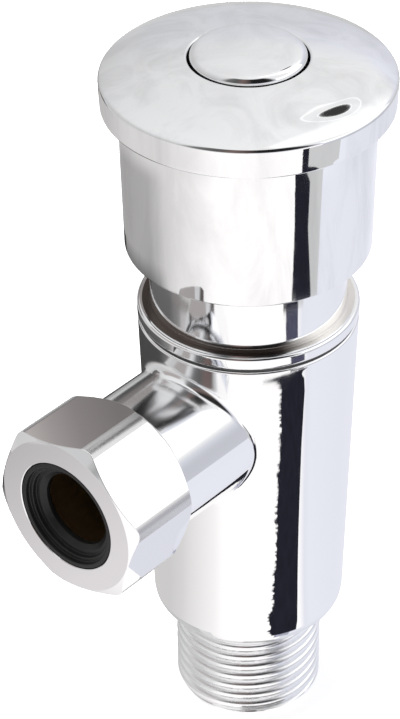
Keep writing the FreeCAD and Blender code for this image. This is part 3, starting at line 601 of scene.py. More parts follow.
bonnet_outline = eased([
    (CYLINDER_R, BONNET_FOOT, FINE_ROUND),
    (BONNET_SCREW_OUT_R, BONNET_FOOT, FINE_ROUND),
    (BONNET_SCREW_OUT_R, FLANGE_FOOT),
    (FLANGE_R, FLANGE_FOOT, FLANGE_ROUND),
    (FLANGE_R, FLANGE_TOP, FLANGE_ROUND),
    (LEDGE_EDGE_R, FLANGE_TOP),
    (NECK_FOOT_R, FLANGE_TOP, FINE_ROUND),
    (NECK_R, NECK_FOOT_TOP, FINE_ROUND),
    (NECK_R, NECK_TOP, FINE_ROUND),
    (WELL_R, NECK_TOP, FINE_ROUND),
    (WELL_R, WELL_FLOOR),
    (GLAND_R, WELL_FLOOR, FINE_ROUND),
    (GLAND_R, PACKING_TOP),
    (PACKING_R, PACKING_TOP),
    (PACKING_R, WEB_TOP),
    (GUIDE_BORE_R, WEB_TOP),
    (GUIDE_BORE_R, WEB_FOOT),
    (CYLINDER_R, WEB_FOOT),
])
bonnet_finishes = (neck_chrome, bare_brass, ledge_metal)
bonnet = turned("bonnet_plated", bonnet_outline, bonnet_finishes, bonnet_finish_at)
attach(bonnet, "valve")
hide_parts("bonnet")
gasket_outline = eased([
    (BONNET_SCREW_R, BARREL_TOP),
    (GASKET_R, BARREL_TOP, FINE_ROUND),
    (GASKET_R, FLANGE_FOOT, FINE_ROUND),
    (BONNET_SCREW_R, FLANGE_FOOT),
])
gasket_rubber = soft_rubber("gasket_rubber", 0.05, 0.30, 0.03 * MM)
bonnet_gasket = turned("bonnet_gasket_ring", gasket_outline, (gasket_rubber,))
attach(bonnet_gasket, "valve")
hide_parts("bonnet_gasket")

# Button spring. A light spring of thinner wire in the bonnet's well, which lifts the button against
# the crown. It stands loose on the well's floor, round the gland nut.
LIFT_WIRE_R = 0.4 * MM
LIFT_TURNS = 6
wound_spring("button_spring_wire", "button_spring", LIFT_WIRE_R, LIFT_TURNS)

# Push button. Turned brass, plated: a low dome with a collar that the crown holds back, and a
# socket underneath that presses on the spindle's end.
RIM_TOP_R = 19.3 * MM
RIM_TOP = 101.32 * MM
CROWN_HOLE_R = 7.84 * MM
CROWN_HOLE_TOP = 103.95 * MM
CROWN_SLOPE = radians(6.5)
CROWN_ARC_R = 100.0 * MM
CROWN_ROLL_WIDTH = 4.6 * MM
CROWN_UNDERSIDE = 99.6 * MM
BUTTON_R = 7.6 * MM
BUTTON_EDGE_STANDS = 0.72 * MM
BUTTON_DOME_RISE = 0.58 * MM
BUTTON_EDGE_ROUND = 1.1 * MM
COLLAR_R = 9.3 * MM
COLLAR_TOP = 99.55 * MM
COLLAR_FOOT = 97.75 * MM
BOSS_FOOT = 95.65 * MM
SOCKET_TOP = 96.45 * MM
SOCKET_R = 2.8 * MM
BOSS_R = 4.0 * MM
DOME_STEPS = 14


def arc_places(centre, arc_r, outer_r, inner_r, steps):
    """Outline points of an arc from one radius in to another, without the first."""
    return [(radius, centre.y + sqrt(arc_r * arc_r - (radius - centre.x) ** 2))
            for radius in spaced(outer_r, inner_r, steps)[1:]]


crown_way = Vector((sin(CROWN_SLOPE), cos(CROWN_SLOPE)))
crown_centre = Vector((CROWN_HOLE_R, CROWN_HOLE_TOP)) - crown_way * CROWN_ARC_R
crown_here = crown_centre.y + sqrt(CROWN_ARC_R ** 2 - (BUTTON_R - crown_centre.x) ** 2)
BUTTON_EDGE = crown_here + BUTTON_EDGE_STANDS
BUTTON_TOP = BUTTON_EDGE + BUTTON_DOME_RISE
button_arc_r = (BUTTON_R ** 2 + BUTTON_DOME_RISE ** 2) / (2 * BUTTON_DOME_RISE)
button_centre = Vector((0, BUTTON_TOP - button_arc_r))
wall_foot, wall_top = Vector((BUTTON_R, COLLAR_TOP)), Vector((BUTTON_R, BUTTON_EDGE))
button_edge = round_onto_arc(wall_foot, wall_top, BUTTON_EDGE_ROUND, button_centre, button_arc_r)
# The near-black metal on the button's wall down in the gap is painted shade in the gap.
gap_shade = bare_metal("gap_shade", (0.035, 0.032, 0.03), 0.5, 900, 0.01 * MM)
button_chrome = plated_chrome("button_chrome", CHROME_TINT, 0.07, 0.004 * MM, 0.10)


def button_finish_at(place):
    """Finish of a place on the button: plate, or near-black painted shade on the wall down in the gap."""
    return hypot(place.x, place.y) > BUTTON_R - MM / 4 and place.z < BUTTON_EDGE - BUTTON_EDGE_ROUND


button_outline = eased([
    (0, SOCKET_TOP),
    (SOCKET_R, SOCKET_TOP),
    (SOCKET_R, BOSS_FOOT, FINE_ROUND),
    (BOSS_R, BOSS_FOOT, FINE_ROUND),
    (BOSS_R, COLLAR_FOOT),
    (COLLAR_R, COLLAR_FOOT, FINE_ROUND),
    (COLLAR_R, COLLAR_TOP, FINE_ROUND),
    (BUTTON_R, COLLAR_TOP),
    *button_edge,
    *arc_places(button_centre, button_arc_r, button_edge[-1].x, 0.0, DOME_STEPS),
])
button_finishes = (button_chrome, gap_shade)
push_button = turned("push_button_plated", button_outline, button_finishes, button_finish_at, closed=False)
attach(push_button, "button")
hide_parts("push_button")

# Cap. A brass mushroom screwed over the neck and plated outside: its skirt hides the neck, its rim
# overhangs the skirt, and its domed crown has the hole for the button.
SKIRT_BORE_R = 14.76 * MM
SKIRT_FOOT_R = 16.46 * MM
SKIRT_TOP_R = 16.9 * MM
SKIRT_FOOT = 76.42 * MM
SKIRT_TOP = 97.32 * MM
SKIRT_ROUND = 0.25 * MM
RIM_FOOT_R = 19.15 * MM
RIM_ROUND = 0.7 * MM
RIM_FOOT_ROUND = 0.25 * MM
CROWN_HOLE_ROUND = 0.3 * MM
CAP_SCREW_R = 13.35 * MM
CAP_SCREW_FOOT = 85.9 * MM
CAP_SCREW_TOP = 94.94 * MM
cap_chrome = plated_chrome("cap_chrome", CHROME_TINT, 0.07, 0.004 * MM, 0.13)


def cap_finish_at(place):
    """Finish of a place on the cap: plate, dull brass inside, or darker metal on the hole's wall, which is
    thin plate and partly painted shade in the gap.
    """
    off_axis = hypot(place.x, place.y)
    if off_axis < SKIRT_BORE_R + HOLD and place.z < CROWN_UNDERSIDE + HOLD:
        return 1
    return 2 if off_axis < CROWN_HOLE_R + HOLD else 0


shoulder_r = RIM_TOP_R - CROWN_ROLL_WIDTH
shoulder_lean = asin((shoulder_r - crown_centre.x) / CROWN_ARC_R)
shoulder = crown_centre.y + CROWN_ARC_R * cos(shoulder_lean)
roll_drop = shoulder - RIM_TOP
roll_sag = roll_drop * cos(shoulder_lean) - CROWN_ROLL_WIDTH * sin(shoulder_lean)
roll_r = (CROWN_ROLL_WIDTH ** 2 + roll_drop ** 2) / (2 * roll_sag)
roll_centre = Vector((shoulder_r - roll_r * sin(shoulder_lean), shoulder - roll_r * cos(shoulder_lean)))
rim_foot, rim_top = Vector((RIM_FOOT_R, SKIRT_TOP)), Vector((RIM_TOP_R, RIM_TOP))
rim_edge = round_onto_arc(rim_foot, rim_top, RIM_ROUND, roll_centre, roll_r)
cap_outline = eased([
    (SKIRT_BORE_R, SKIRT_FOOT, FINE_ROUND),
    (SKIRT_FOOT_R, SKIRT_FOOT, SKIRT_ROUND),
    (SKIRT_TOP_R, SKIRT_TOP, FINE_ROUND),
    (RIM_FOOT_R, SKIRT_TOP, RIM_FOOT_ROUND),
    *rim_edge,
    *arc_places(roll_centre, roll_r, rim_edge[-1].x, shoulder_r, DOME_STEPS),
    *arc_places(crown_centre, CROWN_ARC_R, shoulder_r, CROWN_HOLE_R + 2 * CROWN_HOLE_ROUND, DOME_STEPS),
    (CROWN_HOLE_R, CROWN_HOLE_TOP, CROWN_HOLE_ROUND),
    (CROWN_HOLE_R, CROWN_UNDERSIDE, FINE_ROUND),
    (WELL_R, CROWN_UNDERSIDE),
    (WELL_R, CAP_SCREW_TOP),
    (CAP_SCREW_R, CAP_SCREW_TOP),
    (CAP_SCREW_R, CAP_SCREW_FOOT, FINE_ROUND),
    (SKIRT_BORE_R, CAP_SCREW_FOOT),
])
dull_brass = bare_metal("dull_brass", (0.26, 0.22, 0.18), 0.5, 900, 0.01 * MM)
# The crown hole's wall is darker, rougher metal: thin plate, and partly painted shade in the gap round the
# button.
thin_plate_and_gap_shade = bare_metal("thin_plate_and_gap_shade", (0.34, 0.34, 0.35), 0.42, 900, 0.01 * MM)
cap = turned("cap_plated", cap_outline, (cap_chrome, dull_brass, thin_plate_and_gap_shade), cap_finish_at)
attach(cap, "valve")
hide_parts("cap")

# Outlet sleeve and slip ring. The stepped rubber sleeve seals against the branch's end and round the
# flush pipe, and the thin brass ring lets the nut turn on it without dragging it round.
SLEEVE_BORE_R = 5.2 * MM
SLEEVE_NOSE_R = 7.78 * MM
SLEEVE_FLANGE_R = 9.05 * MM
SLEEVE_MOUTH_R = 5.9 * MM
SLEEVE_REAR = 34.04 * MM
SLEEVE_FLANGE_FRONT = 34.94 * MM
SLEEVE_FRONT = 36.94 * MM
SLEEVE_STEPS = 3
SLEEVE_LEAD = 0.3 * MM
STEP_ROUND = 0.14 * MM


def turned_on_branch(name, outline, finishes):
    """Piece turned about the branch axis from an outline in radius and reach."""
    skin = Skin()
    rings = [skin.ring(branch_ring(radius, reach, TURN_ANGLES)) for radius, reach in outline]
    skin.bands(rings + rings[:1])
    return skin.piece(name, finishes)


step_deep = (SLEEVE_FRONT - SLEEVE_FLANGE_FRONT) / SLEEVE_STEPS
step_wide = (SLEEVE_NOSE_R - SLEEVE_MOUTH_R) / SLEEVE_STEPS
sleeve_corners = [
    (SLEEVE_BORE_R, SLEEVE_REAR + SLEEVE_LEAD, FINE_ROUND),
    (SLEEVE_BORE_R + SLEEVE_LEAD, SLEEVE_REAR, FINE_ROUND),
    (SLEEVE_FLANGE_R, SLEEVE_REAR, FINE_ROUND),
    (SLEEVE_FLANGE_R, SLEEVE_FLANGE_FRONT, FINE_ROUND),
    (SLEEVE_NOSE_R, SLEEVE_FLANGE_FRONT),
    (SLEEVE_NOSE_R, SLEEVE_FRONT, STEP_ROUND),
]
for index in range(SLEEVE_STEPS):
    reach = SLEEVE_FRONT - index * step_deep
    inner_r = SLEEVE_NOSE_R - (index + 1) * step_wide
    sleeve_corners.append((inner_r, reach, STEP_ROUND))
    if index < SLEEVE_STEPS - 1:
        sleeve_corners.append((inner_r, reach - step_deep, STEP_ROUND))
sleeve_corners.append((SLEEVE_BORE_R, SLEEVE_FLANGE_FRONT, STEP_ROUND))
outlet_seal = turned_on_branch("outlet_sleeve_rubber", eased(sleeve_corners), (seal_rubber,))
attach(outlet_seal, "valve")
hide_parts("outlet_seal")
finish_nodes(bare_brass, "slip_ring")

# Coupling nut. Hexagonal brass bar, bored and threaded, its corners turned off at both ends and the
# whole plated. Its lip pulls the sleeve against the branch as the nut is turned.
NUT_ACROSS_FLATS = 22.2 * MM
NUT_CORNER_ANGLE = radians(12.3)
NUT_CORNER_ROUND = 2.2 * MM
NUT_CORNER_HALF = radians(5.1)
NUT_REAR_REACH = 24.8 * MM
NUT_FRONT_REACH = 37.04 * MM
NUT_LIP_REACH = 35.64 * MM
NUT_FACE_R = 11.0 * MM
NUT_REAR_FACE_R = 10.85 * MM
NUT_OPENING_R = 7.87 * MM
NUT_SCREW_R = 9.35 * MM
NUT_OPENING_CHAMFER = 0.1 * MM
NUT_CHAMFER_SLOPE = tan(radians(30))
NUT_REAR_SLOPE = tan(radians(40))
NUT_SIDES = 6
FLAT_STEPS = 14
CORNER_STEPS = 8


def hexagon_outline(across, corner_round, first_angle):
    """Places round a hexagon whose corners are rounded, as radius and angle."""
    places = []
    corner_centre = (across / 2 - corner_round) / cos(pi / NUT_SIDES)
    half = pi / NUT_SIDES
    for side in range(NUT_SIDES):
        way = first_angle + side * tau / NUT_SIDES
        middle = Vector((cos(way), sin(way))) * corner_centre
        for step in range(CORNER_STEPS + 1):
            lean = way - half + 2 * half * step / CORNER_STEPS
            places.append(middle + Vector((cos(lean), sin(lean))) * corner_round)
        next_way = way + tau / NUT_SIDES
        flat_end = Vector((cos(next_way), sin(next_way))) * corner_centre
        flat_end += Vector((cos(next_way - half), sin(next_way - half))) * corner_round
        start = places[-1]
        along = flat_end - start
        shares = [HOLD / along.length] + spaced(0, 1, FLAT_STEPS)[1:-1] + [1 - HOLD / along.length]
        places += [start + along * share for share in shares]
    return [(place.length, atan2(place.y, place.x)) for place in places]


def nut_finish_at(place):
    """Finish of a place on the nut: plate, bare thread, or the plate of a buffed corner."""
    off_branch = hypot(place.x, place.z - BRANCH_HEIGHT)
    if off_branch < NUT_SCREW_R + HOLD and -place.y < NUT_LIP_REACH + HOLD:
        return 1
    corner_side = tau / NUT_SIDES
    turn = (atan2(place.z - BRANCH_HEIGHT, place.x) - NUT_CORNER_ANGLE + corner_side / 2) % corner_side
    between_ends = off_branch > NUT_FACE_R and NUT_REAR_REACH + MM < -place.y < NUT_FRONT_REACH - MM
    return 2 if between_ends and abs(turn - corner_side / 2) < NUT_CORNER_HALF else 0


nut = Skin()
nut_columns = []
for radius, turn in hexagon_outline(NUT_ACROSS_FLATS, NUT_CORNER_ROUND, NUT_CORNER_ANGLE):
    section = eased([
        (NUT_OPENING_R + NUT_OPENING_CHAMFER, NUT_FRONT_REACH, FINE_ROUND),
        (NUT_FACE_R, NUT_FRONT_REACH, FINE_ROUND),
        (radius, NUT_FRONT_REACH - (radius - NUT_FACE_R) * NUT_CHAMFER_SLOPE, FINE_ROUND),
        (radius, NUT_REAR_REACH + (radius - NUT_REAR_FACE_R) * NUT_REAR_SLOPE, FINE_ROUND),
        (NUT_REAR_FACE_R, NUT_REAR_REACH, FINE_ROUND),
        (NUT_SCREW_R, NUT_REAR_REACH, FINE_ROUND),
        (NUT_SCREW_R, NUT_LIP_REACH),
        (NUT_OPENING_R, NUT_LIP_REACH),
        (NUT_OPENING_R, NUT_FRONT_REACH - NUT_OPENING_CHAMFER, FINE_ROUND),
    ])
    nut_columns.append([branch_ring(distance, reach, [turn])[0] for distance, reach in section])
nut_rings = [nut.ring(places) for places in zip(*nut_columns)]
nut.bands(nut_rings + nut_rings[:1])
nut_chrome = plated_chrome("nut_chrome", CHROME_TINT, 0.05, 0.004 * MM)
buffed_chrome = plated_chrome("buffed_chrome", (0.66, 0.655, 0.655), 0.30, 0.004 * MM, least=0.9)
coupling_nut = nut.piece("coupling_nut_plated", (nut_chrome, bare_brass, buffed_chrome), nut_finish_at)
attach(coupling_nut, "nut")
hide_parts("coupling_nut")

# Floor. A wide sheet of white board that the valve stands on, plain and pale to the camera. What the plated
# walls mirror of it is a painted reflection, seen only by glossy rays: brighter in front, dimmer on the left
# and dark beside it.
FLOOR_HALF = 3.0
FLOOR_DROP = 0.2 * MM
DIM_REACH = 0.25
LAVENDER = (0.985, 0.99, 1.03)
WARM = (1.01, 1.0, 0.995)
BLACK = (0, 0, 0, 1)
WHITE = (1, 1, 1, 1)


def grey(shade, tint=(1.0, 1.0, 1.0)):
    """Colour whose brightness in the finished picture is the given share of white."""
    return (*[(shade * part) ** 2.2 for part in tint], 1)


def light_grey(share):
    """Share of a mix, as the colour that a ramp gives."""
    return (share, share, share, 1)


def ground_tones(left, right):
    """Painted reflection of the ground round the valve, by stops of (bearing, shade), those on the right in
    lavender.
    """
    return by_bearing(ground, [(bearing, grey(shade, WARM)) for bearing, shade in left]
                      + [(bearing, grey(shade, LAVENDER)) for bearing, shade in right])


def by_distance(stops):
    """Colour of the ground by the distance from the valve in mm."""
    return ground.ramped(distance_share, [(distance * MM / DIM_REACH, colour) for distance, colour in stops])


board = bpy.data.materials.new("white_board")
ground = Shader(board)
ground.surface({"Base Color": grey(0.97), "Roughness": 0.9, "Specular IOR Level": 0.0,
                "Emission Color": WHITE, "Emission Strength": 0.35})
distance = ground.add("VectorMath", "Value", {0: ground.place}, operation="LENGTH")
distance_share = ground.add("Math", "Value", {0: distance, 1: DIM_REACH}, operation="DIVIDE")
barrel_ground = ground_tones(
    [(-179.9, 0.80), (-93, 0.811), (-79.5, 0.839), (-73.7, 0.848), (-63, 0.893), (-53, 0.925), (-44, 0.954),
     (-35, 0.983), (-27, 1.03), (52, 1.05)],
    [(60, 0.925), (66, 0.944), (110, 0.93), (179.9, 0.93)])
skirt_ground = ground_tones(
    [(-179.9, 0.65), (-126, 0.655), (-97, 0.678), (-90.4, 0.727), (-86.5, 0.75), (-79, 0.83), (-72, 0.858),
     (-66, 0.893), (-54, 0.946), (-42, 0.99), (-31, 1.034), (52, 1.05)],
    [(62, 0.93), (78, 0.937), (102, 0.93), (119, 0.918), (134, 0.926), (150, 0.96), (179.9, 0.96)])
rim_ground = ground_tones(
    [(-179.9, 0.74), (-130, 0.762), (-119, 0.792), (-107, 0.829), (-96, 0.852), (-68, 0.862), (-59, 0.894),
     (-50, 0.916), (-36, 0.975), (-27, 1.034), (52, 1.05)],
    [(60, 0.97), (80, 0.94), (92, 0.92), (117, 0.913), (179.9, 0.92)])
left_side = by_bearing(ground, [(-179.9, WHITE), (-100, WHITE), (-84, light_grey(0.75)), (-74, BLACK)])
back_side = by_bearing(ground, [(-179.9, WHITE), (-110, WHITE), (-80, BLACK), (80, BLACK), (110, WHITE)])
past_neck = by_distance([(95, BLACK), (117, WHITE)])
past_skirt = by_distance([(152, BLACK), (158, WHITE)])
far_ring = by_distance([(185, BLACK), (245, WHITE)])
dim_ring = by_distance([
    (52, BLACK), (74, WHITE), (96, WHITE), (106, light_grey(0.87)), (117, light_grey(0.8)), (125, BLACK)])
tone = ground.mixed(past_neck, barrel_ground, skirt_ground)
tone = ground.mixed(past_skirt, tone, rim_ground)
# A dark painted ring on the left, which the plate mirrors as shade down the valve's left side.
tone = ground.mixed(ground.times(left_side, dim_ring), tone, grey(0.28, WARM))
tone = ground.mixed(ground.times(back_side, far_ring), tone, grey(0.81))
plain = ground.nodes["Principled BSDF"].outputs["BSDF"]
# The painted tones glow only for glossy rays. The camera and diffuse light see the plain board.
mirrored = ground.add("Emission", "Emission", {"Color": tone})
in_mirrors = ground.add("LightPath", "Is Glossy Ray", {})
shown = ground.add("MixShader", "Shader", {"Fac": in_mirrors, 1: plain, 2: mirrored})
ground.feed(ground.nodes["Material Output"], {"Surface": shown})
sheet = Skin()
corner_ways = [(-1, -1), (1, -1), (1, 1), (-1, 1)]
floor_ring = sheet.ring([Vector((x * FLOOR_HALF, y * FLOOR_HALF, -FLOOR_DROP)) for x, y in corner_ways])
sheet.faces.append(tuple(floor_ring))
floor = sheet.piece("floor_board", (board,))

# Cards round the valve that show only in its plate: they glow in their own colours and give no light, so
# they are painted reflections. A dark one with a torn edge lies at the right front and makes the black
# stripe down the barrel, a dark strip by the thread's end paints the shade along its foot, and others make
# the skirt's and the nut's tones.
CARD_LIFT = 0.5 * MM
CARD_ROWS = 520
CARD_COLUMNS = 14
INK = (0.95, 0.95, 1.15)
PINK = (1.01, 0.99, 0.995)
BROWN = (1.03, 0.99, 0.98)
view_turn = Matrix.Rotation(VIEW_SIDE, 3, "Z")


def glow(shader, colour):
    """Make a material shine evenly in a colour."""
    light = shader.add("Emission", "Emission", {"Color": colour})
    shader.feed(shader.nodes["Material Output"], {"Surface": light})


def graded_card(name, axis, stops):
    """Card that glows evenly as painted reflection, its colour changing along an axis of the frame by stops
    of (place in mm, colour).
    """
    finish = bpy.data.materials.new(name)
    shader = Shader(finish)
    low, high = stops[0][0], stops[-1][0]
    along = shader.spread(shader.add("SeparateXYZ", axis, {"Vector": shader.place}), low * MM, high * MM)
    glow(shader, shader.ramped(along, [((at - low) / (high - low), colour) for at, colour in stops]))
    return finish


def mottled_card(name, colour, spread=0.0):
    """Card that glows evenly as painted reflection, in one colour that is lighter and darker in small
    patches.
    """
    finish = bpy.data.materials.new(name)
    shader = Shader(finish)
    low, high = (tuple(part * (1 + way * spread) for part in colour) for way in (-1, 1))
    glow(shader, shader.mixed(shader.cloud(240, Detail=3), low, high))
    return finish


def mirrored_only(card):
    """Let a card show in reflections and nowhere else."""
    card.visible_camera = False
    card.visible_diffuse = False
    card.visible_shadow = False
    card.visible_transmission = False


def beside(distance, bearing, height=CARD_LIFT):
    """Place at a distance from the valve's axis, on a bearing from the camera in degrees."""
    way = radians(bearing)
    return view_turn @ Vector((sin(way), -cos(way), 0)) * distance + Vector((0, 0, height))


def bearing_at(edge, distance):
    """Bearing of a card's edge at a distance, between the edge's own points."""
    for (low, low_bearing), (high, high_bearing) in zip(edge, edge[1:]):
        if distance <= high:
            return low_bearing + (high_bearing - low_bearing) * (distance - low) / (high - low)
    return edge[-1][1]


def flat_card(name, left_edge, right_edge, paper, height=CARD_LIFT, torn=0.0, spiked=0.0):
    """Level card between two edges, given in mm and degrees. The left one may be torn."""
    skin = Skin()
    rows = []
    for distance in spaced(left_edge[0][0], left_edge[-1][0], CARD_ROWS):
        rough = noise.fractal(Vector((distance * 0.55, 0.5, 2.5)), 0.7, 2.2, 4) * torn
        spike = max(1 - 3 * abs(noise.noise(Vector((distance * 0.7, 7.5, 1.5)))), 0) ** 1.5
        bristle = max(1 - 3 * abs(noise.noise(Vector((distance * 1.9, 3.5, 8.5)))), 0) ** 2
        left = bearing_at(left_edge, distance) + rough - (spike / 2 + bristle) * spiked
        right = bearing_at(right_edge, distance)
        bearings = spaced(left, right, CARD_COLUMNS)
        rows.append(skin.ring([beside(distance * MM, bearing, height) for bearing in bearings]))
    skin.bands(rows, closed=False)
    mirrored_only(skin.piece(name, (paper,)))


def standing_card(name, distance, first_bearing, last_bearing, foot, top, axis, stops):
    """Upright graded card, bent round the axis at a distance, with its foot and top in mm."""
    skin = Skin()
    bearings = spaced(first_bearing, last_bearing, CARD_COLUMNS)
    low, high = [skin.ring([beside(distance * MM, bearing, height * MM) for bearing in bearings])
                 for height in (foot, top)]
    skin.band(low, high, closed=False)
    mirrored_only(skin.piece(name, (graded_card(name + "_paper", axis, stops),)))


def arc_card(name, near, far, first_bearing, last_bearing, colour, spread=0.0, height=CARD_LIFT):
    """Level card between two distances in mm and two bearings."""
    edges = [[(near, bearing), (far, bearing)] for bearing in (first_bearing, last_bearing)]
    flat_card(name, *edges, mottled_card(name + "_paper", colour, spread), height)


arc_card("foot_card", 9.5, 20, 34.1, 100, grey(0.89, LAVENDER))
arc_card("foot_rear_card", 20, 27.9, 27, 100, grey(0.93, LAVENDER))
arc_card("end_card", 10.6, 12.3, -6, 34, grey(0.4))
arc_card("foot_left_card", 12.4, 26, -140, -52, grey(0.78), 0.1)
arc_card("foot_front_card", 12.4, 26, -52, -38, grey(0.87), 0.1)
arc_card("thread_card", 20, 27.9, 26, 42, grey(0.5, INK), 0.3)
arc_card("neck_card", 113.2, 117.8, -94, -66, grey(0.48, BROWN), 0.1)
arc_card("front_shelf", 55, 150, -105, -57, grey(0.66, BROWN), height=99 * MM)
arc_card("back_shelf", 32, 72, 178, 214, grey(0.55, BROWN), height=97 * MM)
arc_card("back_shelf_cover", 31, 73, 177, 215, grey(0.82), height=97.2 * MM)
flat_card("face_card", [(62, -80), (112, -80)], [(62, -54), (112, -54)], graded_card("face_paper", "X", [
    (-66, grey(0.72, PINK)), (-49, grey(0.805, PINK)), (-32, grey(0.875, PINK)), (-22, grey(0.89, PINK))]))
torn_left = [(28, 22), (35, 22), (39, 26.8), (75, 32.8), (88.3, 33.6), (89.6, 32.5), (90.3, 27), (90.8, 16),
             (90.9, 15), (91.3, 21), (91.7, 28), (92.1, 35), (92.4, 42), (92.7, 55)]
torn_right = [(28, 46), (32, 50.5), (37, 51.5), (73, 55.3), (86.5, 57.7), (90, 56.8), (91.2, 54), (92, 55),
              (92.7, 61)]
torn_paper = mottled_card("torn_paper", grey(0.17, INK), 0.3)
flat_card("torn_card", torn_left, torn_right, torn_paper, torn=0.7, spiked=3.2)
slate_paper = mottled_card("slate_paper", grey(0.34, INK), 0.6)
flat_card("slate_card", [(92.8, 41.5), (117.4, 41.5)], [(92.8, 56), (117.4, 56)], slate_paper, torn=0.8)
far_left = [(117.5, 38.2), (139, 39.8), (320, 38.6)]
far_middle = [(117.5, 56.5), (139, 52.4), (154, 53.5), (157.5, 50), (160, 44.5), (320, 43.5)]
far_right = [(117.5, 62.6), (139, 64.4), (157, 66), (160, 70.3), (320, 71)]
flat_card("far_card", far_left, far_middle, mottled_card("far_paper", grey(0.17, INK), 0.2), torn=0.3)
flat_card("grey_card", far_middle, far_right, mottled_card("grey_paper", grey(0.81)))
standing_card("low_left_card", 70, -143, -176, 0, 36, "Z", [(0, grey(0.28, WARM)), (36, grey(0.28, WARM))])
standing_card("mid_left_card", 70, -147, -157, 36, 70, "Z", [
    (36, grey(0.64)), (49, grey(0.66)), (53, grey(0.77)), (60, grey(0.77)),
    (63, grey(0.28, WARM)), (70, grey(0.28, WARM))])
standing_card("high_left_card", 70, -115, -178, 70, 92, "Z", [
    (70, grey(0.28, WARM)), (86, grey(0.48, BROWN)), (92, grey(0.52, BROWN))])
standing_card("nut_card", 55, -122, -150, 80, 91, "Y", [
    (-1, grey(0.68, BROWN)), (3, grey(0.60, BROWN)), (8, grey(0.525, BROWN)), (15, grey(0.46, BROWN))])
standing_card("right_card", 200, 52, 118, 0, 200, "Z", [
    (0, grey(0.80, LAVENDER)), (56, grey(0.79, LAVENDER)), (74, grey(0.81, LAVENDER)),
    (96, grey(0.87, LAVENDER)), (115, grey(0.95)), (140, grey(1.15)), (200, grey(1.15))])

# Sky and lamps. The sky is a pale tent that the cap mirrors, dark towards the camera, painted as a
# reflection that only glossy rays see, and one wide lamp above gives the soft light. Glowing rings with a
# dark middle, which give no light and show only in reflections, paint a round lamp's oval on the crown.
LAMP_PLACE = Vector((-0.099, 0.381, 0.5496))
LAMP_AIM = Vector((0.0158, -0.002, 0.1023))
LAMP_REFLECTION_RINGS = [(0.0, 0.034, 0.25), (0.0341, 0.039, 0.34), (0.0391, 0.044, 0.55),
              (0.0441, 0.049, 1.08), (0.0491, 0.079, 0.985), (0.0791, 0.085, 1.08)]
OVERHEAD_PLACE = Vector((-0.35, -0.25, 1.3))
OVERHEAD_AIM = Vector((0, 0, 0.05))
sky = bpy.data.worlds.new("pale_tent")
bpy.context.scene.world = sky
tent = Shader(sky, "Generated")
sky_height = tent.add("SeparateXYZ", "Z", {"Vector": tent.place})


def by_height(stops):
    """Colour of the sky by the height angle in degrees."""
    return tent.ramped(sky_height, [(sin(radians(angle)), colour) for angle, colour in stops])


back_left = by_height([(0, grey(0.79)), (12, grey(0.805)), (20, grey(0.825)), (30, grey(0.855)),
                       (37, grey(0.885)), (47, grey(0.91)), (60, grey(0.93)), (90, grey(0.96))])
back_right = by_height([(0, grey(0.87, LAVENDER)), (12, grey(0.88, LAVENDER)), (17, grey(0.90, LAVENDER)),
                        (22, grey(0.93, LAVENDER)), (28, grey(0.955)), (40, grey(0.965)), (90, grey(0.98))])
right_share = by_bearing(tent, [(-179.9, light_grey(0.5)), (-160, BLACK), (0, BLACK), (1, WHITE),
                                (160, WHITE), (179.9, light_grey(0.5))])
tone = tent.mixed(right_share, back_left, back_right)
sheet_height = by_height([(26, BLACK), (33, WHITE), (78, WHITE), (85, BLACK)])
sheet_side = by_bearing(tent, [(88, BLACK), (94, WHITE), (136, WHITE), (149, BLACK)])
tone = tent.mixed(tent.times(sheet_height, sheet_side), tone, grey(1.12))
front_height = by_height([(7, BLACK), (10, WHITE), (64, WHITE), (70, BLACK)])
front_side = by_bearing(tent, [(-53, BLACK), (-41, WHITE), (44, WHITE), (54, BLACK)])
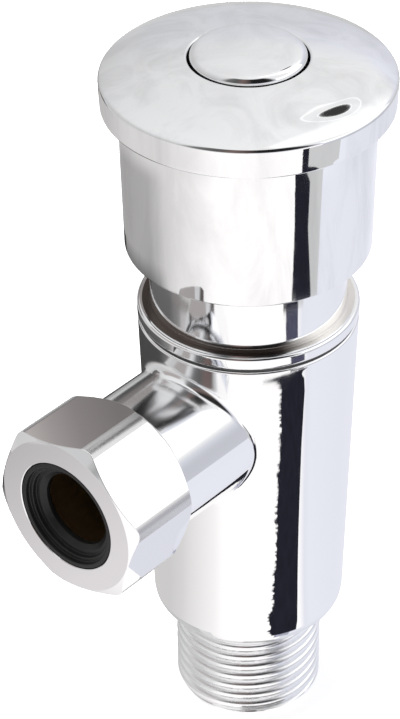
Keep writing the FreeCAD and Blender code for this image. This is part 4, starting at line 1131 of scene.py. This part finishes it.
front = by_bearing(tent, [
    (-50, grey(0.5)), (-25, grey(0.36)), (-12, grey(0.44, (1.06, 0.9, 0.87))),
    (0, grey(0.32, (1.05, 0.93, 0.9))), (8, grey(0.15)), (35, grey(0.15)), (50, grey(0.3))])
tone = tent.mixed(tent.times(front_height, front_side), tone, front)
# The tent's pattern, with its bright painted sheet on the right, shows only in glossy rays. Other rays see
# an even pale grey.
tone = tent.mixed(tent.add("LightPath", "Is Glossy Ray", {}), light_grey(0.8), tone)
tone = tent.mixed(tent.add("LightPath", "Is Camera Ray", {}), tone, WHITE)
tent.feed(tent.nodes["Background"], {"Color": tone})
lamp_turn = (LAMP_AIM - LAMP_PLACE).to_track_quat("Z", "Y")
for index, (inner, outer, shade) in enumerate(LAMP_REFLECTION_RINGS):
    skin = Skin()
    skin.band(*[skin.ring([LAMP_PLACE + lamp_turn @ place for place in ring_at(radius, 0)])
                for radius in (inner, outer)])
    mirrored_only(skin.piece("lamp_reflection_ring_%d" % index, (mottled_card("lamp_reflection_glow_%d" % index, grey(shade)),)))
soft_lamp = bpy.data.lights.new("overhead_lamp", "AREA")
soft_lamp.shape = "DISK"
soft_lamp.size = 0.9
soft_lamp.energy = 14
overhead = bpy.data.objects.new("overhead_lamp", soft_lamp)
overhead.location = OVERHEAD_PLACE
overhead.rotation_euler = (OVERHEAD_AIM - OVERHEAD_PLACE).to_track_quat("-Z", "Y").to_euler()
overhead.visible_glossy = False
bpy.context.collection.objects.link(overhead)

# Camera. It looks down on the valve from its right front, at the photograph's angle and framing, with
# a long lens, so that the walls stay nearly upright in the picture.
CAMERA_PLACE = (0.1980, -0.2369, 0.2775)
CAMERA_TILT = radians(54.4)
CAMERA_PAN = radians(0.99)
CAMERA_LENS = 138.84
lens = bpy.data.cameras.new("camera")
lens.lens = CAMERA_LENS
camera = bpy.data.objects.new("camera", lens)
turn = Matrix.Rotation(VIEW_SIDE, 4, "Z") @ Matrix.Rotation(CAMERA_TILT, 4, "X")
camera.matrix_world = Matrix.Translation(CAMERA_PLACE) @ turn @ Matrix.Rotation(CAMERA_PAN, 4, "Y")
bpy.context.collection.objects.link(camera)
bpy.context.scene.camera = camera
bpy.context.scene.view_settings.view_transform = "Standard"
